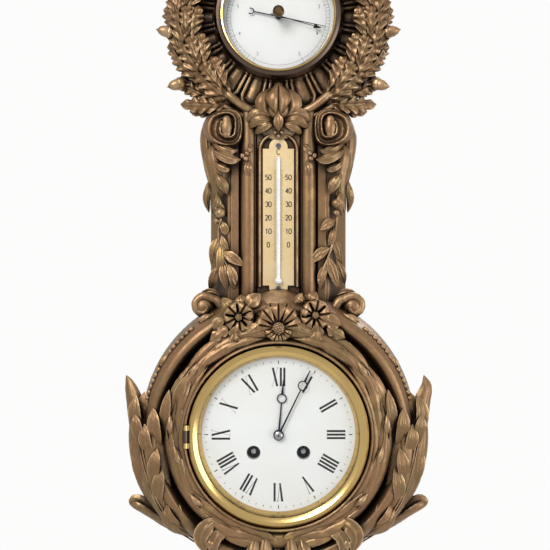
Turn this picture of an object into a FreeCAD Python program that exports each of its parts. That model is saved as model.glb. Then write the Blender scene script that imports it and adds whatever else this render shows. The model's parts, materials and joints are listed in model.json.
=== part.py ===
# Carved wall instrument: an aneroid barometer above, a thermometer on the neck and a striking
# clock below, in a bronze-painted wooden case. Millimetres. +X is to the viewer's right, +Z is up
# and the wall is the plane Y = 0, so the front of the object faces -Y. The origin is the hole of
# the hanging plate. "Depth" below always means the distance in front of the wall, which is -Y.
import FreeCAD, Part
from functools import lru_cache
import math
import os

V = FreeCAD.Vector
TAU = 2 * math.pi

# ---------------------------------------------------------------- driving dimensions
HANG_TO_BARO = 105.0        # the hanging hole stands this far above the barometer's centre
BARO_TO_CLOCK = 427.0       # the two dials' centres
BARO_Z = -HANG_TO_BARO
CLOCK_Z = BARO_Z - BARO_TO_CLOCK

BOARD_T = 10.0              # back board
HAIR = 0.3                  # gap between pieces that move past each other
FIT = 0.05                  # radial running clearance of pivots and pipes
OVER = 1.0                  # how far a cutting tool runs past what it cuts

# round clock case
DRUM_R = 144.0
DRUM_BORE_R = 62.0
SEAT_DEPTH = 52.0           # face that the dial plate and the inner moulding stand on
BAND_DEPTH = 71.5           # crest of the outer band
GROOVE_R = 118.5
INNER_MOULD_W = 24.5
INNER_MOULD_DEPTH = 79.0
BEAD_DEPTH = 58.0
BEZEL_R = 89.5
BEZEL_GAP = 1.0
SIGHT_R = 77.0              # the dial shows inside this radius
BEZEL_FRONT = 82.0
BEZEL_BACK = 68.0
GLASS_T = 1.8

# clock movement
DIAL_R = 78.5
DIAL_BACK = 66.0
DIAL_T = 3.0
PLATE_R = 48.0
PLATE_T = 2.0
BACK_PLATE_DEPTH = 30.0
PLATE_GAP = 28.0            # between the plates' inner faces
ARBOR_X = 25.0              # winding arbors, either side of the centre
ARBOR_DROP = 18.0           # and below it
ARBOR_R = 2.5
WINDING_HOLE_R = 6.3
PILLAR_R = 2.5
PILLAR_RING = 41.0
HOUR_ANGLE = 5.2            # hands at rest, degrees clockwise from twelve
MINUTE_ANGLE = 26.0
HOUR_LENGTH = 55.0
MINUTE_LENGTH = 72.0
PALLET_Z = 40.5             # pallet arbor and pendulum axis above the centre
PENDULUM_L = 109.0
BOB_R = 14.0
SWING = 3.5                 # half swing, degrees
BELL_R = 32.0

# wheels: (teeth, module)
GREAT = (84, 0.5)
INTER_PINION = (14, 0.5)
INTER_WHEEL = (72, 0.4)
CENTRE_PINION = (12, 0.4)
CENTRE_WHEEL = (88, 0.35)
THIRD_PINION = (8, 0.35)
THIRD_WHEEL = (88, 0.3)
ESCAPE_PINION = (8, 0.3)
CANNON = (12, 0.5)
MINUTE_WHEEL = (36, 0.5)
MINUTE_PINION = (10, 0.48)
HOUR_WHEEL = (40, 0.48)
ESCAPE_TEETH = 44
ESCAPE_R = 11.0

# neck with the thermometer
NECK_HALF_BACK = 72.0
NECK_HALF_FRONT = 52.5
NECK_DEPTH = 44.0
NECK_BOTTOM = DRUM_R - 16.0  # heights above the clock's centre
NECK_TOP = BARO_TO_CLOCK - 97.0
COLUMN_X = 31.0
COLUMN_R = 8.0
THERMO_W = 32.0
THERMO_H = 141.0            # between the two round tabs
THERMO_MID = 219.5
TAB_R = 9.5
TAB_REACH = 11.0
THERMO_T = 1.6
RECESS = 4.0
TUBE_R = 2.0
TUBE_TOP = 60.0             # about the plate's middle
TUBE_BOTTOM = -66.0

# barometer
BARO_BEZEL_R = 66.5
BARO_SIGHT_R = 57.0
BARO_CAN_R = 54.0
BARO_FLANGE_R = 64.0
BARO_CAN_DEPTH = 40.0
BARO_FRONT = 56.0
POINTER_ANGLE = 101.6       # degrees clockwise from the top
SET_ANGLE = 106.0
FRAME_R = 93.0              # gadrooned frame round the bezel
FRAME_DEPTH = 46.0
UPPER_BOARD_R = 100.0
CAPSULE_R = 24.0
LEVER_R = 1.2
LEVER_PIVOT = (30.0, BARO_Z - 20.0)
POINTER_ARBOR_R = 1.0


# ---------------------------------------------------------------- shapes used throughout
def disc(radius, d0, d1, x=0.0, z=0.0):
    """A cylinder that points out of the wall, from depth d0 to d1."""
    return Part.makeCylinder(radius, d1 - d0, V(x, -d0, z), V(0, -1, 0))


def ring(outer, inner, d0, d1, x=0.0, z=0.0):
    return disc(outer, d0, d1, x, z).cut(disc(inner, d0 - OVER, d1 + OVER, x, z))


def block(x0, x1, d0, d1, z0, z1):
    return Part.makeBox(x1 - x0, d1 - d0, z1 - z0, V(x0, -d1, z0))


def turned(profile, x=0.0, z=0.0):
    """A closed (radius, depth) outline turned about the axis that points out of the wall at x, z."""
    points = [V(x + r, -d, z) for r, d in profile]
    face = Part.Face(Part.makePolygon(points + points[:1]))
    return face.revolve(V(x, 0, z), V(0, 1, 0), 360)


def prism(outline, d0, d1):
    """A closed outline of (x, z) points with straight sides, from depth d0 to d1."""
    points = [V(x, -d0, z) for x, z in outline]
    return Part.Face(Part.makePolygon(points + points[:1])).extrude(V(0, d0 - d1, 0))


def smooth_prism(outline, d0, d1):
    """The same with one smooth closed curve through the points."""
    curve = Part.BSplineCurve()
    curve.interpolate(Points=[V(x, -d0, z) for x, z in outline], PeriodicFlag=True)
    return Part.Face(Part.Wire(curve.toShape())).extrude(V(0, d0 - d1, 0))


def rod(start, end, radius):
    """A round bar between two (x, depth, z) places."""
    a, b = (V(x, -d, z) for x, d, z in (start, end))
    return Part.makeCylinder(radius, (b - a).Length, a, b - a)


def fused(shapes):
    first, *rest = shapes
    return first.multiFuse(rest).removeSplitter() if rest else first


def mirrored(shape):
    return shape.mirror(V(0, 0, 0), V(1, 0, 0))


def polar(radius, degrees, x=0.0, z=0.0):
    """A point at that radius, with the angle counted from +X towards +Z."""
    a = math.radians(degrees)
    return x + radius * math.cos(a), z + radius * math.sin(a)


def turned_to(shape, degrees, x, z):
    """The shape turned clockwise as seen from the front, about x, z."""
    made = shape.copy()
    made.rotate(V(x, 0, z), V(0, 1, 0), degrees)
    return made


def leaf_outline(root, degrees, length, width, lobes, steps=5):
    """A lobed leaf that points along the given angle. No lobes makes a plain pointed one."""
    x, z = root
    ux, uz = math.cos(math.radians(degrees)), math.sin(math.radians(degrees))
    count = max(lobes, 1) * steps
    upper = []
    for i in range(1, count):
        t = i / count
        half = width / 2 * math.sin(math.pi * t ** 0.8) ** 0.7
        if lobes:
            half *= 0.80 + 0.20 * math.cos(TAU * (lobes * t - 0.5))
        upper.append((t * length, half))
    lower = [(along, -half) for along, half in reversed(upper)]
    path = [(0.0, 0.0)] + upper + [(length, 0.0)] + lower
    return [(x + a * ux - h * uz, z + a * uz + h * ux) for a, h in path]


# ---------------------------------------------------------------- wheels and pinions
def pitch_r(gear):
    teeth, module = gear
    return teeth * module / 2


def centres(a, b):
    """Distance between the arbors of two gears in mesh."""
    return pitch_r(a) + pitch_r(b)


def mesh_phase(a, phase, direction, b):
    """The angle of a tooth of gear b that meshes with gear a, which has a tooth at phase.
    direction is the angle from a's arbor to b's. All are in radians, from +X towards +Z."""
    pitch_a, pitch_b = TAU / a[0], TAU / b[0]
    offset = (phase - direction) % pitch_a
    return direction + math.pi - offset * a[0] / b[0] + pitch_b / 2


def toothed(gear, phase, d0, d1, x, z, pinion=False):
    """Teeth with rounded tips: (radius in modules from the pitch circle, share of half a pitch)."""
    teeth, module = gear
    wheel_tooth = ((-1.35, 0.50), (0.0, 0.42), (0.45, 0.30), (0.8, 0.10))
    leaf = ((-1.35, 0.34), (0.0, 0.36), (0.35, 0.24), (0.5, 0.10))
    shape = leaf if pinion else wheel_tooth
    points = []
    for i in range(teeth):
        middle = phase + TAU * i / teeth
        for side in (-1, 1):
            for rise, share in (shape if side < 0 else reversed(shape)):
                angle = middle + side * share * TAU / teeth / 2
                radius = pitch_r(gear) + rise * module
                points.append((x + radius * math.cos(angle), z + radius * math.sin(angle)))
    return prism(points, d0, d1)


def crossed(gear, hub_r, d0, d1, x, z, arms=4):
    """The openings between a wheel's arms, as one tool to cut with."""
    rim = pitch_r(gear) - 4.5 * gear[1]
    gaps = ring(rim, hub_r, d0 - OVER, d1 + OVER, x, z)
    for i in range(arms):
        arm = block(x, x + rim + OVER, d0 - 2 * OVER, d1 + 2 * OVER, z - 0.7, z + 0.7)
        gaps = gaps.cut(turned_to(arm, 360 * i / arms + 20, x, z))
    return gaps


def arm_wheel(gear, phase, d0, d1, x, z, hub_r=2.2):
    return toothed(gear, phase, d0, d1, x, z).cut(crossed(gear, hub_r, d0, d1, x, z))


def beside(centre_a, reach_a, centre_b, reach_b, side):
    """The place at those distances from two others, to one side of the line between them."""
    (xa, za), (xb, zb) = centre_a, centre_b
    span = math.hypot(xb - xa, zb - za)
    along = (reach_a ** 2 - reach_b ** 2 + span ** 2) / (2 * span)
    off = side * math.sqrt(reach_a ** 2 - along ** 2)
    ux, uz = (xb - xa) / span, (zb - za) / span
    return xa + along * ux - off * uz, za + along * uz + off * ux


def angle_between(a, b):
    return math.atan2(b[1] - a[1], b[0] - a[0])


# ---------------------------------------------------------------- places worked out from them
FRONT_PLATE_DEPTH = BACK_PLATE_DEPTH + PLATE_T + PLATE_GAP
DIAL_FRONT = DIAL_BACK + DIAL_T
MOULD_BORE_R = BEZEL_R + BEZEL_GAP
CENTRE = (0.0, CLOCK_Z)
GOING = (ARBOR_X, CLOCK_Z - ARBOR_DROP)
STRIKING = (-ARBOR_X, CLOCK_Z - ARBOR_DROP)
INTER = beside(CENTRE, centres(INTER_WHEEL, CENTRE_PINION), GOING, centres(GREAT, INTER_PINION), 1)
ESCAPE = (0.0, CLOCK_Z + 25.0)
THIRD = beside(CENTRE, centres(CENTRE_WHEEL, THIRD_PINION), ESCAPE,
               centres(THIRD_WHEEL, ESCAPE_PINION), 1)
MINUTE = (0.0, CLOCK_Z - centres(CANNON, MINUTE_WHEEL))
PIN_WHEEL = polar(centres(GREAT, INTER_PINION), 100, *STRIKING)
PALLETS = (0.0, CLOCK_Z + PALLET_Z)
THERMO_Z = CLOCK_Z + THERMO_MID
VOLUTE = (52.0, BARO_Z - 115.0)
SIDE_SCROLL = polar(DRUM_R + 3.5, 58.3, 0, CLOCK_Z)
VOLUTE_R = 20.5
SIDE_SCROLL_R = 14.0
HINGE_X = -(BEZEL_R + 2.5)
HINGE_DEPTH = BEZEL_FRONT - 2.0
DOOR_R = 66.0
DOOR_T = 1.6
DOOR_D = 0.4
DOOR_HINGE = (-DOOR_R - 1.6, 1.3)
DOOR_BARREL_R = 1.2
DOOR_PIN_R = 0.5
DOOR_EDGE_ROOM = 16.0       # half height of the relief that the door's rim swings into
HAMMER_PIVOT = (-34.0, CLOCK_Z + 22.0)
HAMMER_ARBOR_R = 1.5
PIN_RING = 8.6
PIN_WHEEL_PIN_R = 0.6
KNOB_DEPTH = 64.0

# depths of the wheels between the plates, back to front
INTER_WHEEL_D = BACK_PLATE_DEPTH + PLATE_T + 2.5
THIRD_WHEEL_D = BACK_PLATE_DEPTH + PLATE_T + 6.5
ESCAPE_D = BACK_PLATE_DEPTH + PLATE_T + 12.5
GREAT_D = FRONT_PLATE_DEPTH - 9.6
CENTRE_WHEEL_D = FRONT_PLATE_DEPTH - 5.0
WHEEL_T = 1.0
DRUM_BACK_D = BACK_PLATE_DEPTH + PLATE_T + 6.0
MOTION_D = FRONT_PLATE_DEPTH + PLATE_T + 0.6


# ---------------------------------------------------------------- case
def neck_outline(half, grow=0.0):
    return [(-half - grow, CLOCK_Z + NECK_BOTTOM - 30), (half + grow, CLOCK_Z + NECK_BOTTOM - 30),
            (half + grow, CLOCK_Z + NECK_TOP), (-half - grow, CLOCK_Z + NECK_TOP)]


def pendulum_slot(d0, d1):
    """Room for the pendulum below the round bore."""
    reach = PENDULUM_L - PALLET_Z + BOB_R + 10
    half = BOB_R + 12
    slot = block(-half, half, d0, d1, CLOCK_Z - reach, CLOCK_Z)
    return slot.fuse(disc(half, d0, d1, 0, CLOCK_Z - reach))


@lru_cache
def back_board():
    """Flat board behind everything, rebated for the round door and pierced for both movements."""
    board = fused([
        disc(DRUM_R - 8, 0, BOARD_T, 0, CLOCK_Z),
        prism(neck_outline(NECK_HALF_BACK - 4), 0, BOARD_T),
        disc(UPPER_BOARD_R - 2, 0, BOARD_T, 0, BARO_Z),
        block(-22, 22, 0, BOARD_T, BARO_Z + 60, 22),
    ])
    tools = [
        disc(DRUM_BORE_R - 4, -OVER, BOARD_T + OVER, 0, CLOCK_Z),
        disc(DOOR_R + HAIR, -OVER, DOOR_T + 1.0, 0, CLOCK_Z),
        pendulum_slot(4.0, BOARD_T + OVER),
        disc(BARO_CAN_R + 1.0, -OVER, BOARD_T + OVER, 0, BARO_Z),
        disc(12.0, -OVER, 7.0),
        block(-17, 17, -OVER, HANG_PLATE_T, -13, 13),
    ]
    hinge_x = DOOR_HINGE[0]
    tools += [
        block(hinge_x - 1.6, hinge_x + 3, -OVER, 2.8, CLOCK_Z - 6.5, CLOCK_Z + 6.5),
        block(hinge_x + 1, hinge_x + 3, -OVER, 2.8, CLOCK_Z - DOOR_EDGE_ROOM, CLOCK_Z + DOOR_EDGE_ROOM),
        door_rod(DOOR_PIN_R, 9.0),
    ]
    for tool in tools:
        board = board.cut(tool)
    return board.cut(fused([screw_hole(x, z) for x, z in HANG_SCREWS]))


HANG_PLATE_T = 2.0
HANG_HOLE_R = 4.0
HANG_SCREWS = ((-12.5, -8.0), (12.5, -8.0))
SCREW_R = 1.5


def screw_hole(x, z):
    return disc(SCREW_R, -OVER, 9.0, x, z)


def hanging_plate():
    plate = block(-16.7, 16.7, 0, HANG_PLATE_T, -12.7, 12.7)
    plate = plate.cut(disc(HANG_HOLE_R, -OVER, HANG_PLATE_T + OVER))
    for x, z in HANG_SCREWS:
        plate = plate.cut(disc(SCREW_R, -OVER, HANG_PLATE_T + OVER, x, z))
        plate = plate.cut(countersink(x, z, 0))
    return plate


def countersink(x, z, depth):
    """The cone of a screw's head, sunk from the wall side."""
    return Part.makeCone(2.8, SCREW_R, 1.3, V(x, -depth, z), V(0, -1, 0))


@lru_cache
def drum_body():
    """The turned round case: side wall, outer band, groove and the seat inside it."""
    body = turned([
        (DRUM_BORE_R, BOARD_T), (DRUM_R - 1, BOARD_T), (DRUM_R, 28), (DRUM_R - 3, 46),
        (DRUM_R - 10, BAND_DEPTH - 4.5), (DRUM_R - 13, BAND_DEPTH - 1), (DRUM_R - 17, BAND_DEPTH),
        (GROOVE_R + 4, BAND_DEPTH - 1), (GROOVE_R + 1, BAND_DEPTH - 4), (GROOVE_R, SEAT_DEPTH),
        (DRUM_BORE_R, SEAT_DEPTH),
    ], 0, CLOCK_Z)
    body = body.cut(thermo_tool(0.6, NECK_DEPTH + 4 - RECESS, BEZEL_FRONT))
    return body.cut(pendulum_slot(BOARD_T - OVER, 32.0))


@lru_cache
def inner_moulding():
    outer = MOULD_BORE_R + INNER_MOULD_W
    crest = INNER_MOULD_DEPTH
    return turned([
        (MOULD_BORE_R, SEAT_DEPTH), (outer, SEAT_DEPTH), (outer, crest - 9), (outer - 4, crest - 3),
        (outer - 10, crest), (outer - 17, crest - 3), (MOULD_BORE_R + 2, crest - 7),
        (MOULD_BORE_R, crest - 7),
    ], 0, CLOCK_Z)


def bead(radius, height, x, z):
    """A button that stands on the shoulder of the round case."""
    foot = BEAD_DEPTH - 8
    return turned([(0, foot), (radius, foot), (radius, height - radius * 0.6), (radius * 0.6, height), (0, height)], x, z)


@lru_cache
def bead_strings():
    """Strings of beads between husks, standing on the shoulder of the round case."""
    row_r = DRUM_R - 6.0
    made = []
    for side in (-1, 1):
        for group in (138.0, 160.0):
            for i in range(6):
                angle = 90 + side * (group - 98 + 2.6 * i)
                made.append(bead(2.3, BEAD_DEPTH + 2.3, *polar(row_r, angle, 0, CLOCK_Z)))
        for middle in (127.0, 150.0):
            angle = 90 + side * (middle - 90)
            made.append(bead(3.6, BEAD_DEPTH + 3.2, *polar(row_r, angle, 0, CLOCK_Z)))
    body = drum_body()
    cut = [one.cut(body) for one in made]
    return Part.makeCompound([max(c.Solids, key=lambda s: s.Volume) for c in cut])


def thermo_outline(grow, inset=0.0):
    """Half-round tab, square shoulder, long side: the plate's shape, a little larger if asked."""
    half, tall = THERMO_W / 2 + grow, THERMO_H / 2 + grow
    body = block(-half, half, 0, 1, THERMO_Z - tall, THERMO_Z + tall)
    tabs = [disc(TAB_R + grow, 0, 1, 0, THERMO_Z + s * (THERMO_H / 2 + TAB_REACH - TAB_R))
            for s in (-1, 1)]
    neck = [block(-TAB_R - grow, TAB_R + grow, 0, 1, *sorted((THERMO_Z, THERMO_Z + s * (
        THERMO_H / 2 + TAB_REACH - TAB_R)))) for s in (-1, 1)]
    return fused([body] + tabs + neck)


def thermo_tool(grow, d0, d1):
    """thermo_outline between two depths."""
    flat = thermo_outline(grow)
    face = max((f for f in flat.Faces if abs(f.normalAt(0, 0).y) > 0.9), key=lambda f: f.Area)
    base = Part.Face(face.OuterWire)
    base.translate(V(0, -d0 - base.BoundBox.YMin, 0))
    return base.extrude(V(0, d0 - d1, 0))


@lru_cache
def neck_body():
    """The neck: splayed sides, flat panels, two half-round columns and the thermometer recess."""
    z0, z1 = CLOCK_Z + NECK_BOTTOM - 30, CLOCK_Z + NECK_TOP
    back, front = NECK_HALF_BACK, NECK_HALF_FRONT
    section = [(-back, BOARD_T), (-back, 18), (-front - 3, NECK_DEPTH - 7), (-front, NECK_DEPTH - 3),
               (front, NECK_DEPTH - 3), (front + 3, NECK_DEPTH - 7), (back, 18), (back, BOARD_T)]
    points = [V(x, -d, z0) for x, d in section]
    core = Part.Face(Part.makePolygon(points + points[:1])).extrude(V(0, 0, z1 - z0))
    columns = [Part.makeCylinder(COLUMN_R, z1 - z0, V(s * COLUMN_X, -(NECK_DEPTH - 3), z0), V(0, 0, 1))
               for s in (-1, 1)]
    middle = block(-COLUMN_X + COLUMN_R - 1, COLUMN_X - COLUMN_R + 1, 20, NECK_DEPTH + 4, z0, z1)
    neck = fused([core, middle] + columns)
    neck = neck.cut(thermo_tool(0.6, NECK_DEPTH + 4 - RECESS, NECK_DEPTH + 6))
    neck = neck.cut(disc(DRUM_R + HAIR / 3, 0, BEZEL_FRONT, 0, CLOCK_Z))
    neck = neck.cut(disc(UPPER_BOARD_R + HAIR / 3, 0, BEZEL_FRONT, 0, BARO_Z))
    for z in thermo_screw_places():
        neck = neck.cut(disc(SCREW_R, NECK_DEPTH - 8, NECK_DEPTH + 6, 0, z))
    return neck


def thermo_screw_places():
    reach = THERMO_H / 2 + TAB_REACH - TAB_R + 1.5
    return THERMO_Z + reach, THERMO_Z - reach


@lru_cache
def volute():
    """Right-hand console scroll: a coiled fillet on a boss, and the leaf that falls from it."""
    x, z = VOLUTE
    boss = disc(VOLUTE_R, NECK_DEPTH - 10, 54, x, z)
    eye = disc(5.0, 54, 59, x, z + 1)
    turns, spirals = 2.0, []
    steps = 26
    for i in range(steps):
        a0, a1 = (TAU * turns * k / steps for k in (i, i + 1))
        r0, r1 = (VOLUTE_R - 1.8 - (VOLUTE_R - 8.5) * k / steps for k in (i, i + 1))
        start = (x + r0 * math.cos(a0 - 1.3), 55.0, z + r0 * math.sin(a0 - 1.3))
        end = (x + r1 * math.cos(a1 - 1.3), 55.0, z + r1 * math.sin(a1 - 1.3))
        spirals += [rod(start, end, 1.6), Part.makeSphere(1.6, V(start[0], -55.0, start[2]))]
    flank = smooth_prism([(60, z + 24), (74, z + 14), (81, z - 6), (80, z - 28), (74, z - 50),
                          (75, z - 74), (66, z - 88), (58, z - 60), (48, z - 38), (46, z - 24)],
                         BOARD_T, 40)
    leaf = smooth_prism([(44, z - 24), (62, z - 22), (76, z - 28), (73, z - 52), (74, z - 78),
                         (66, z - 90), (60, z - 66), (56, z - 42), (40, z - 34)], 38, 52)
    return fused([boss, eye, flank, leaf] + spirals)


@lru_cache
def gadroon_frame():
    """Hollowed ring round the barometer, with a raised tongue every few degrees."""
    ring_body = turned([
        (BARO_FLANGE_R + 1.5, BOARD_T), (UPPER_BOARD_R, BOARD_T), (UPPER_BOARD_R, 34),
        (FRAME_R + 3, FRAME_DEPTH - 4), (FRAME_R, FRAME_DEPTH), (FRAME_R - 4, FRAME_DEPTH - 8),
        (BARO_BEZEL_R + 4, FRAME_DEPTH - 4), (BARO_BEZEL_R + 1, FRAME_DEPTH),
        (BARO_FLANGE_R + 1.5, FRAME_DEPTH),
    ], 0, BARO_Z)
    seat = disc(BARO_FLANGE_R + 1.5, BOARD_T, 36, 0, BARO_Z)
    seat = seat.cut(disc(BARO_CAN_R + 1.0, BOARD_T - OVER, 37, 0, BARO_Z))
    tongues = []
    for i in range(24):
        a = 15.0 * i + 7.5
        inner = polar(BARO_BEZEL_R + 3, a, 0, BARO_Z)
        outer = polar(FRAME_R - 4, a, 0, BARO_Z)
        tongues.append(rod((inner[0], FRAME_DEPTH - 7, inner[1]), (outer[0], FRAME_DEPTH - 7, outer[1]), 4.2))
    return fused([ring_body, seat] + tongues)


CARVED_FOR_R = 144.0        # radius of the round case that the lower ornament is drawn for


WREATH_LEAVES = (
    # angle round the barometer, root radius, lean from the tangent, length, width, front depth
    (232, 98, 62, 40, 26, 42), (214, 92, 22, 52, 30, 56), (200, 98, 44, 36, 24, 50),
    (192, 90, 12, 50, 28, 60), (180, 96, 38, 34, 24, 48), (170, 88, 8, 48, 28, 60),
    (158, 95, 36, 34, 24, 48), (148, 90, 10, 46, 26, 58), (136, 94, 34, 32, 22, 48),
    (126, 90, 10, 42, 24, 54), (112, 92, 20, 34, 22, 45.2),
)
ACORNS = ((208, 108, 150), (184, 112, 175), (160, 111, 160), (138, 108, 140))


@lru_cache
def wreath():
    """Left oak branch: stem, leaves and acorns, one carving."""
    solids = [turned([(FRAME_R + 1, 30), (FRAME_R + 9, 30), (FRAME_R + 9, 46), (FRAME_R + 5, 50),
                      (FRAME_R + 1, 46)], 0, BARO_Z)]
    keep = prism([(0, BARO_Z)] + [polar(160, a, 0, BARO_Z) for a in range(102, 259, 26)], 0, 80)
    solids[0] = solids[0].common(keep)
    back = prism([polar(FRAME_R - 3, a, 0, BARO_Z) for a in range(104, 249, 12)]
                 + [polar(111, a, 0, BARO_Z) for a in range(248, 103, -12)], BOARD_T, 42)
    solids.append(back)
    for i, (angle, root_r, lean, length, width, front) in enumerate(WREATH_LEAVES):
        root = polar(root_r, angle, 0, BARO_Z)
        pointing = angle - 90 + lean
        solids.append(prism(leaf_outline(root, pointing, length, width, 4, 4), 25 + 0.6 * i, front))
    for angle, reach, pointing in ACORNS:
        x, z = polar(reach, angle, 0, BARO_Z)
        ux, uz = polar(1.0, pointing)
        tip = (x + 11 * ux, 38.0, z + 11 * uz)
        solids += [rod((x - 4 * ux, 38.0, z - 4 * uz), tip, 6.0),
                   Part.makeSphere(6.0, V(tip[0], -38.0, tip[2])),
                   rod((x - 4 * ux, 38.0, z - 4 * uz), (x + 3 * ux, 38.0, z + 3 * uz), 7.5)]
    return fused(solids).cut(upper_case()).cut(neck_body())


@lru_cache
def upper_case():
    """What the wreath, bud and crest are bedded on."""
    return fused([gadroon_frame(), disc(UPPER_BOARD_R - 2, 0, BOARD_T, 0, BARO_Z),
                  disc(BARO_BEZEL_R + 1.0, 0, 80, 0, BARO_Z)])


def crest_bow():
    """Ribbon bow at the top: two loops, a knot and two tails, over a small pointed leaf."""
    z = BARO_Z + 104
    loop = smooth_prism([(2, z), (14, z + 12), (32, z + 17), (40, z + 6), (32, z - 6), (14, z - 5)], 23.5, 48)
    hole = smooth_prism([(14, z + 3), (24, z + 9), (32, z + 6), (25, z + 0)], 18, 60)
    tail = smooth_prism([(2, z - 4), (12, z - 8), (24, z - 18), (38, z - 20), (34, z - 28),
                         (20, z - 27), (6, z - 18)], 24, 44)
    knot = Part.makeSphere(8.5, V(0, -42, z))
    leaf = prism(leaf_outline((0, z - 8), 90, 54, 30, 3), 20.7, 45.5)
    lid = block(-22, 22, BOARD_T, 22, BARO_Z + 90, z + 14)
    side = loop.cut(hole).fuse(tail)
    bow = fused([side, mirrored(side), knot, leaf, lid])
    wreaths = wreath()
    return bow.cut(upper_case()).cut(fused([wreaths, mirrored(wreaths)]))


def bud_boss():
    """Pointed bud below the barometer with folded leaves each side of its foot."""
    z = BARO_Z - 90
    bud = smooth_prism([(0, z + 19), (8, z + 9), (14, z - 4), (10, z - 15), (0, z - 18), (-10, z - 15),
                        (-14, z - 4), (-8, z + 9)], BOARD_T, 60)
    fold = smooth_prism([(2, z - 16), (14, z - 12), (27, z - 14), (32, z - 22), (24, z - 29),
                         (10, z - 28)], NECK_DEPTH - 4, 54)
    tip = prism([(-5, z - 12), (5, z - 12), (7, z - 24), (0, z - 32), (-7, z - 24)], NECK_DEPTH - 4, 55)
    boss = fused([bud, fold, mirrored(fold), tip])
    wreaths = wreath()
    for neighbour in (upper_case(), neck_body(), back_board(), wreaths, mirrored(wreaths), volute(),
                      mirrored(volute())):
        boss = boss.cut(neighbour)
    return boss


@lru_cache
def leaf_drops():
    """Falls of leaves and berries down both splayed sides of the neck."""
    x, top = 62.0, VOLUTE[1] - 96
    leaves = []
    for dx, dz, pointing, length, width in ((0, 0, -95, 24, 12), (1, -22, -62, 26, 10), (0, -26, -120, 26, 11),
                                            (2, -44, -58, 28, 11), (-1, -46, -118, 34, 12), (2, -58, -80, 36, 12)):
        leaves.append(prism(leaf_outline((x + dx, top + dz), pointing, length, width, 0, 8), 18, 43))
    stem = rod((x, 34, top + 4), (x + 2, 34, top - 86), 2.5)
    berry = Part.makeSphere(6.0, V(x, -36, top - 8))
    right = fused(leaves + [stem, berry])
    for neighbour in (neck_body(), disc(DRUM_R + HAIR, 0, BEZEL_FRONT, 0, CLOCK_Z), volute()):
        right = right.cut(neighbour)
    pair = right.Solids + mirrored(right).Solids
    return Part.makeCompound([s for s in pair if s.Volume > 20])


def flower_spray():
    """Daisy in the middle and a smaller flower each side, where the neck meets the round case."""
    made = []
    for x, z, petal, petals, core, front in ((0.0, 108.0, 22.0, 9, 7.0, 82.0), (-38.0, 118.0, 14.0, 5, 5.0, 72.0),
                                             (38.0, 118.0, 14.0, 5, 5.0, 72.0)):
        z += CLOCK_Z
        flower = [disc(core, 44, front, x, z)]
        for i in range(petals):
            a = 90 + 360.0 * i / petals
            root = polar(core - 2, a, x, z)
            flower.append(prism(leaf_outline(root, a, petal, petal * 0.6, 0, 8), 44, front - 4 - (i % 2)))
        made.append(fused(flower))
    volutes = volute()
    for neighbour in (neck_body(), drum_body(), inner_moulding(), disc(MOULD_BORE_R, 0, 90, 0, CLOCK_Z),
                      back_board(), volutes):
        made = [flower.cut(neighbour) for flower in made]
    return Part.makeCompound([s for flower in made for s in flower.Solids if s.Volume > 20])


def side_scrolls():
    """Small scroll each side, where the neck springs from the round case."""
    x, z = SIDE_SCROLL
    coil = disc(SIDE_SCROLL_R, BOARD_T, 46, x, z).fuse(disc(5, 46, 50, x, z - 2))
    root = smooth_prism([(x - 20, z + 16), (x - 8, z + 8), (x + 4, z - 4), (x - 2, z - 14),
                         (x - 14, z - 13), (x - 26, z - 6)], BOARD_T, 44)
    right = coil.fuse(root)
    drops = leaf_drops()
    for neighbour in (neck_body(), drum_body(), back_board(), drops):
        right = right.cut(neighbour)
    right = max(right.Solids, key=lambda s: s.Volume)
    return Part.makeCompound([right, mirrored(right)])


def round_case(points):
    """Points drawn about the clock's centre for a case of radius CARVED_FOR_R, spread to the real one."""
    spread = DRUM_R / CARVED_FOR_R
    return [(x * spread, CLOCK_Z + z * spread) for x, z in points]


@lru_cache
def acanthus():
    """Left leaf: grows from the foot, wraps the round case and springs free at its tip."""
    main = smooth_prism(round_case([
        (-56, -112), (-88, -116), (-122, -86), (-143, -44),
        (-152, 4), (-162, 56), (-142, 40), (-130, 22),
        (-127, 46), (-119, 24), (-120, -12), (-112, -46),
        (-96, -76), (-66, -100)]), 24, 80)
    curl = smooth_prism(round_case([
        (-84, -104), (-112, -110), (-140, -98), (-158, -82),
        (-146, -70), (-128, -68), (-108, -84)]), 20, 62)
    leaf = main.fuse(curl)
    for neighbour in (drum_body(), disc(MOULD_BORE_R + INNER_MOULD_W + HAIR, 0, 99, 0, CLOCK_Z), bead_strings()):
        leaf = leaf.cut(neighbour)
    return max(leaf.Solids, key=lambda s: s.Volume)


def pendant_drop():
    """Shell and leaf drop below the round case, with a flower bud each side and a berry tip."""
    foot = CLOCK_Z - (DRUM_R - CARVED_FOR_R)
    shell = smooth_prism([
        (0, foot - 112), (20, foot - 116), (40, foot - 122), (52, foot - 134),
        (40, foot - 150), (24, foot - 166), (8, foot - 184), (0, foot - 188),
        (-8, foot - 184), (-24, foot - 166), (-40, foot - 150), (-52, foot - 134),
        (-40, foot - 122), (-20, foot - 116)], BOARD_T, 66)
    cap = smooth_prism([(-22, foot - 94), (22, foot - 94), (30, foot - 124), (0, foot - 134),
                        (-30, foot - 124)], 50, 84)
    bud = [disc(11, 50, 84, s * 62.0, foot - 108).fuse(disc(8, 50, 80, s * 50.0, foot - 118))
           for s in (-1, 1)]
    tip = Part.makeSphere(8.0, V(0, -38, foot - 190))
    drop = fused([shell, cap, tip] + bud)
    leaves = acanthus()
    for neighbour in (drum_body(), inner_moulding(), disc(MOULD_BORE_R, 0, 99, 0, CLOCK_Z), back_board(),
                      leaves, mirrored(leaves)):
        drop = drop.cut(neighbour)
    return Part.makeCompound([s for s in drop.Solids if s.Volume > 50])


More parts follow.
